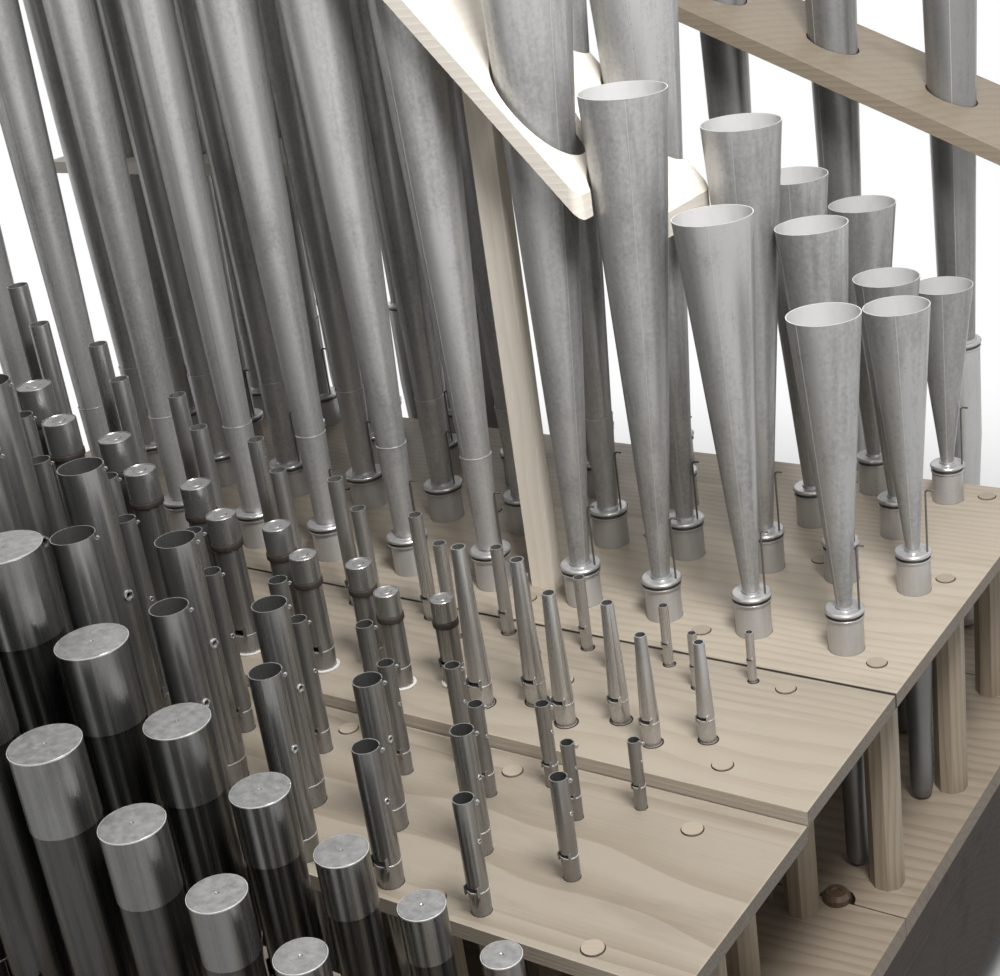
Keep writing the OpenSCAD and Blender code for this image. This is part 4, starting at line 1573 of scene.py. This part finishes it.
NODE_FINISHES: dict[str, Finish] = {
    "floor_bearers": BEARER,
    "wind_chest": CHEST,
    "front_panels": CHEST,
    "chest_table": CHEST,
    "toe_board_front": TOE_BOARD,
    "toe_board_middle": TOE_BOARD,
    "toe_board_rear": TOE_BOARD,
    "toe_board_back": TOE_BOARD,
    "toe_board_buttons": TURNED,
    "rack_pillars": PILLAR,
    "low_rack_pillars": PILLAR,
    "low_rack_ledger": BOARD,
    "rack_board_low": BOARD,
    "rack_board_front": SHADED_FRONT_BOARD,
    "rack_board_middle": BOARD_MIDDLE,
    "rack_board_rear": LIT_REAR_BOARD,
    "stopped_pipes": STOPPED,
    "stopped_caps": CAP,
    "principal_pipes": FLUE,
    "octave_pipes": FLUE,
    "tapered_pipes": SMALL_FLUE,
    "flute_pipes": FLUE,
    "flute_caps": FLUTE_CAP,
    "flute_bands": LEATHER,
    "flute_felts": FELT,
    "piccolo_pipes": SMALL_FLUE,
    "trumpet_boots": BOOT,
    "trumpet_blocks": CAST,
    "trumpet_resonators": CONE,
    "trumpet_tuning_wires": WIRE,
    "clarion_boots": BOOT,
    "clarion_blocks": CAST,
    "clarion_resonators": CONE,
    "clarion_tuning_wires": WIRE,
    "bass_reed_boots": BASS_BOOT,
    "bass_reed_blocks": CAST,
    "bass_reed_resonators": BASS_TUBE,
    "trumpet_rack": RACK,
    "trumpet_rack_posts": LIT_POST,
    "clarion_rack": RACK,
    "clarion_rack_posts": LIT_POST,
    "bass_rack": SHADED_BASS_RACK,
    "bass_rack_posts": LIT_POST,
}


@dataclass
class PipeDetails:
    """The small work on the pipes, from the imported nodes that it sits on.

    Attributes:
        nodes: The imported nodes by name.
        mouth_up: Height of a mouth's lower edge above the board that the pipe stands through.
        stopped_foot: Length of the stopped pipes' feet.
        peg_up: How far the pillars' pegs stand out of the boards.
        socket: Height of the sockets that the long resonators stand in.
        long_tube: Length past which a resonator stands in a socket.
    """

    nodes: dict[str, bpy.types.Object]
    mouth_up: float = 0.026
    stopped_foot: float = 0.219
    peg_up: float = 0.0015
    socket: float = 0.1245
    long_tube: float = 0.82

    def build(self) -> None:
        """Builds the rings, rims, seams, felts and bands."""
        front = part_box("rack_board_front")[1][2]
        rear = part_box("rack_board_middle")[1][2]
        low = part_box("toe_board_front")[1][2]
        rings = SolderRings()
        self.flues(rings, front + self.mouth_up, rear + self.mouth_up, low + self.stopped_foot)
        self.reeds(rings)
        self.boards(rear)
        caps = solids(self.nodes["stopped_caps"])
        rings.build("stopped_caps_rims", [(cap, cap.high - rings.height / 2.0) for cap in caps])
        Felts().build(self.nodes["flute_felts"])
        Bands().build(self.nodes["flute_bands"])

    def flues(self, rings: SolderRings, front: float, rear: float, low: float) -> None:
        """Builds the foot rings of the flue pipes, and the eyelets and rolls of the front ones.

        Args:
            rings: The beads of solder.
            front: Height of the feet's upper ends in the front ranks.
            rear: Their height in the middle rank.
            low: Their height in the stopped ranks.
        """
        for rank, foot in (("principal_pipes", front), ("octave_pipes", front),
                           ("tapered_pipes", rear), ("flute_pipes", rear),
                           ("stopped_pipes", low)):
            pipes = solids(self.nodes[rank])
            rings.build(rank + "_foot_rings", [(pipe, foot) for pipe in pipes])
            if foot == front:
                Eyelets().build(rank + "_eyelets", pipes, foot)
                TuningRolls().build(rank + "_tuning_rolls", pipes)

    def reeds(self, rings: SolderRings) -> None:
        """Builds the seams of the resonators and the rings on the long ones' sockets.

        Args:
            rings: The beads of solder.
        """
        for rank in ("trumpet_resonators", "clarion_resonators", "bass_reed_resonators"):
            tubes = solids(self.nodes[rank])
            Seams().build(rank + "_seams", tubes)
            if rank != "bass_reed_resonators":
                rings.build(rank + "_socket_rings", [
                    (tube, tube.low + self.socket) for tube in tubes
                    if tube.high - tube.low > self.long_tube])

    def boards(self, rear: float) -> None:
        """Builds the painted shade rims round the smallest pipes' feet and the painted shade lines
        round the pegs.

        Args:
            rear: Height of the middle board's upper face.
        """
        # Painted shade round the feet and round the pegs.
        for rank in ("tapered_pipes", "piccolo_pipes"):
            ShadeRims().build(rank + "_shade_rims", [
                (pipe, rear + self.mouth_up, rear) for pipe in solids(self.nodes[rank])])
        for posts in ("rack_pillars", "low_rack_pillars"):
            ShadeRims(width=0.0011, away=0.0001).build(posts + "_peg_shade_lines", [
                (post, post.high, post.high - self.peg_up) for post in solids(self.nodes[posts])])


def main() -> None:
    """Builds the looks in order."""
    logging.basicConfig(level=logging.INFO, format="%(message)s")
    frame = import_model()
    bpy.ops.object.select_all(action="DESELECT")
    nodes = frame["nodes"]
    for node, finish in NODE_FINISHES.items():
        dress(node, nodes[node], finish)
    PipeDetails(nodes).build()
    Studio().build()
    log.info("%d nodes dressed", len(nodes))


if __name__ == "__main__":
    main()
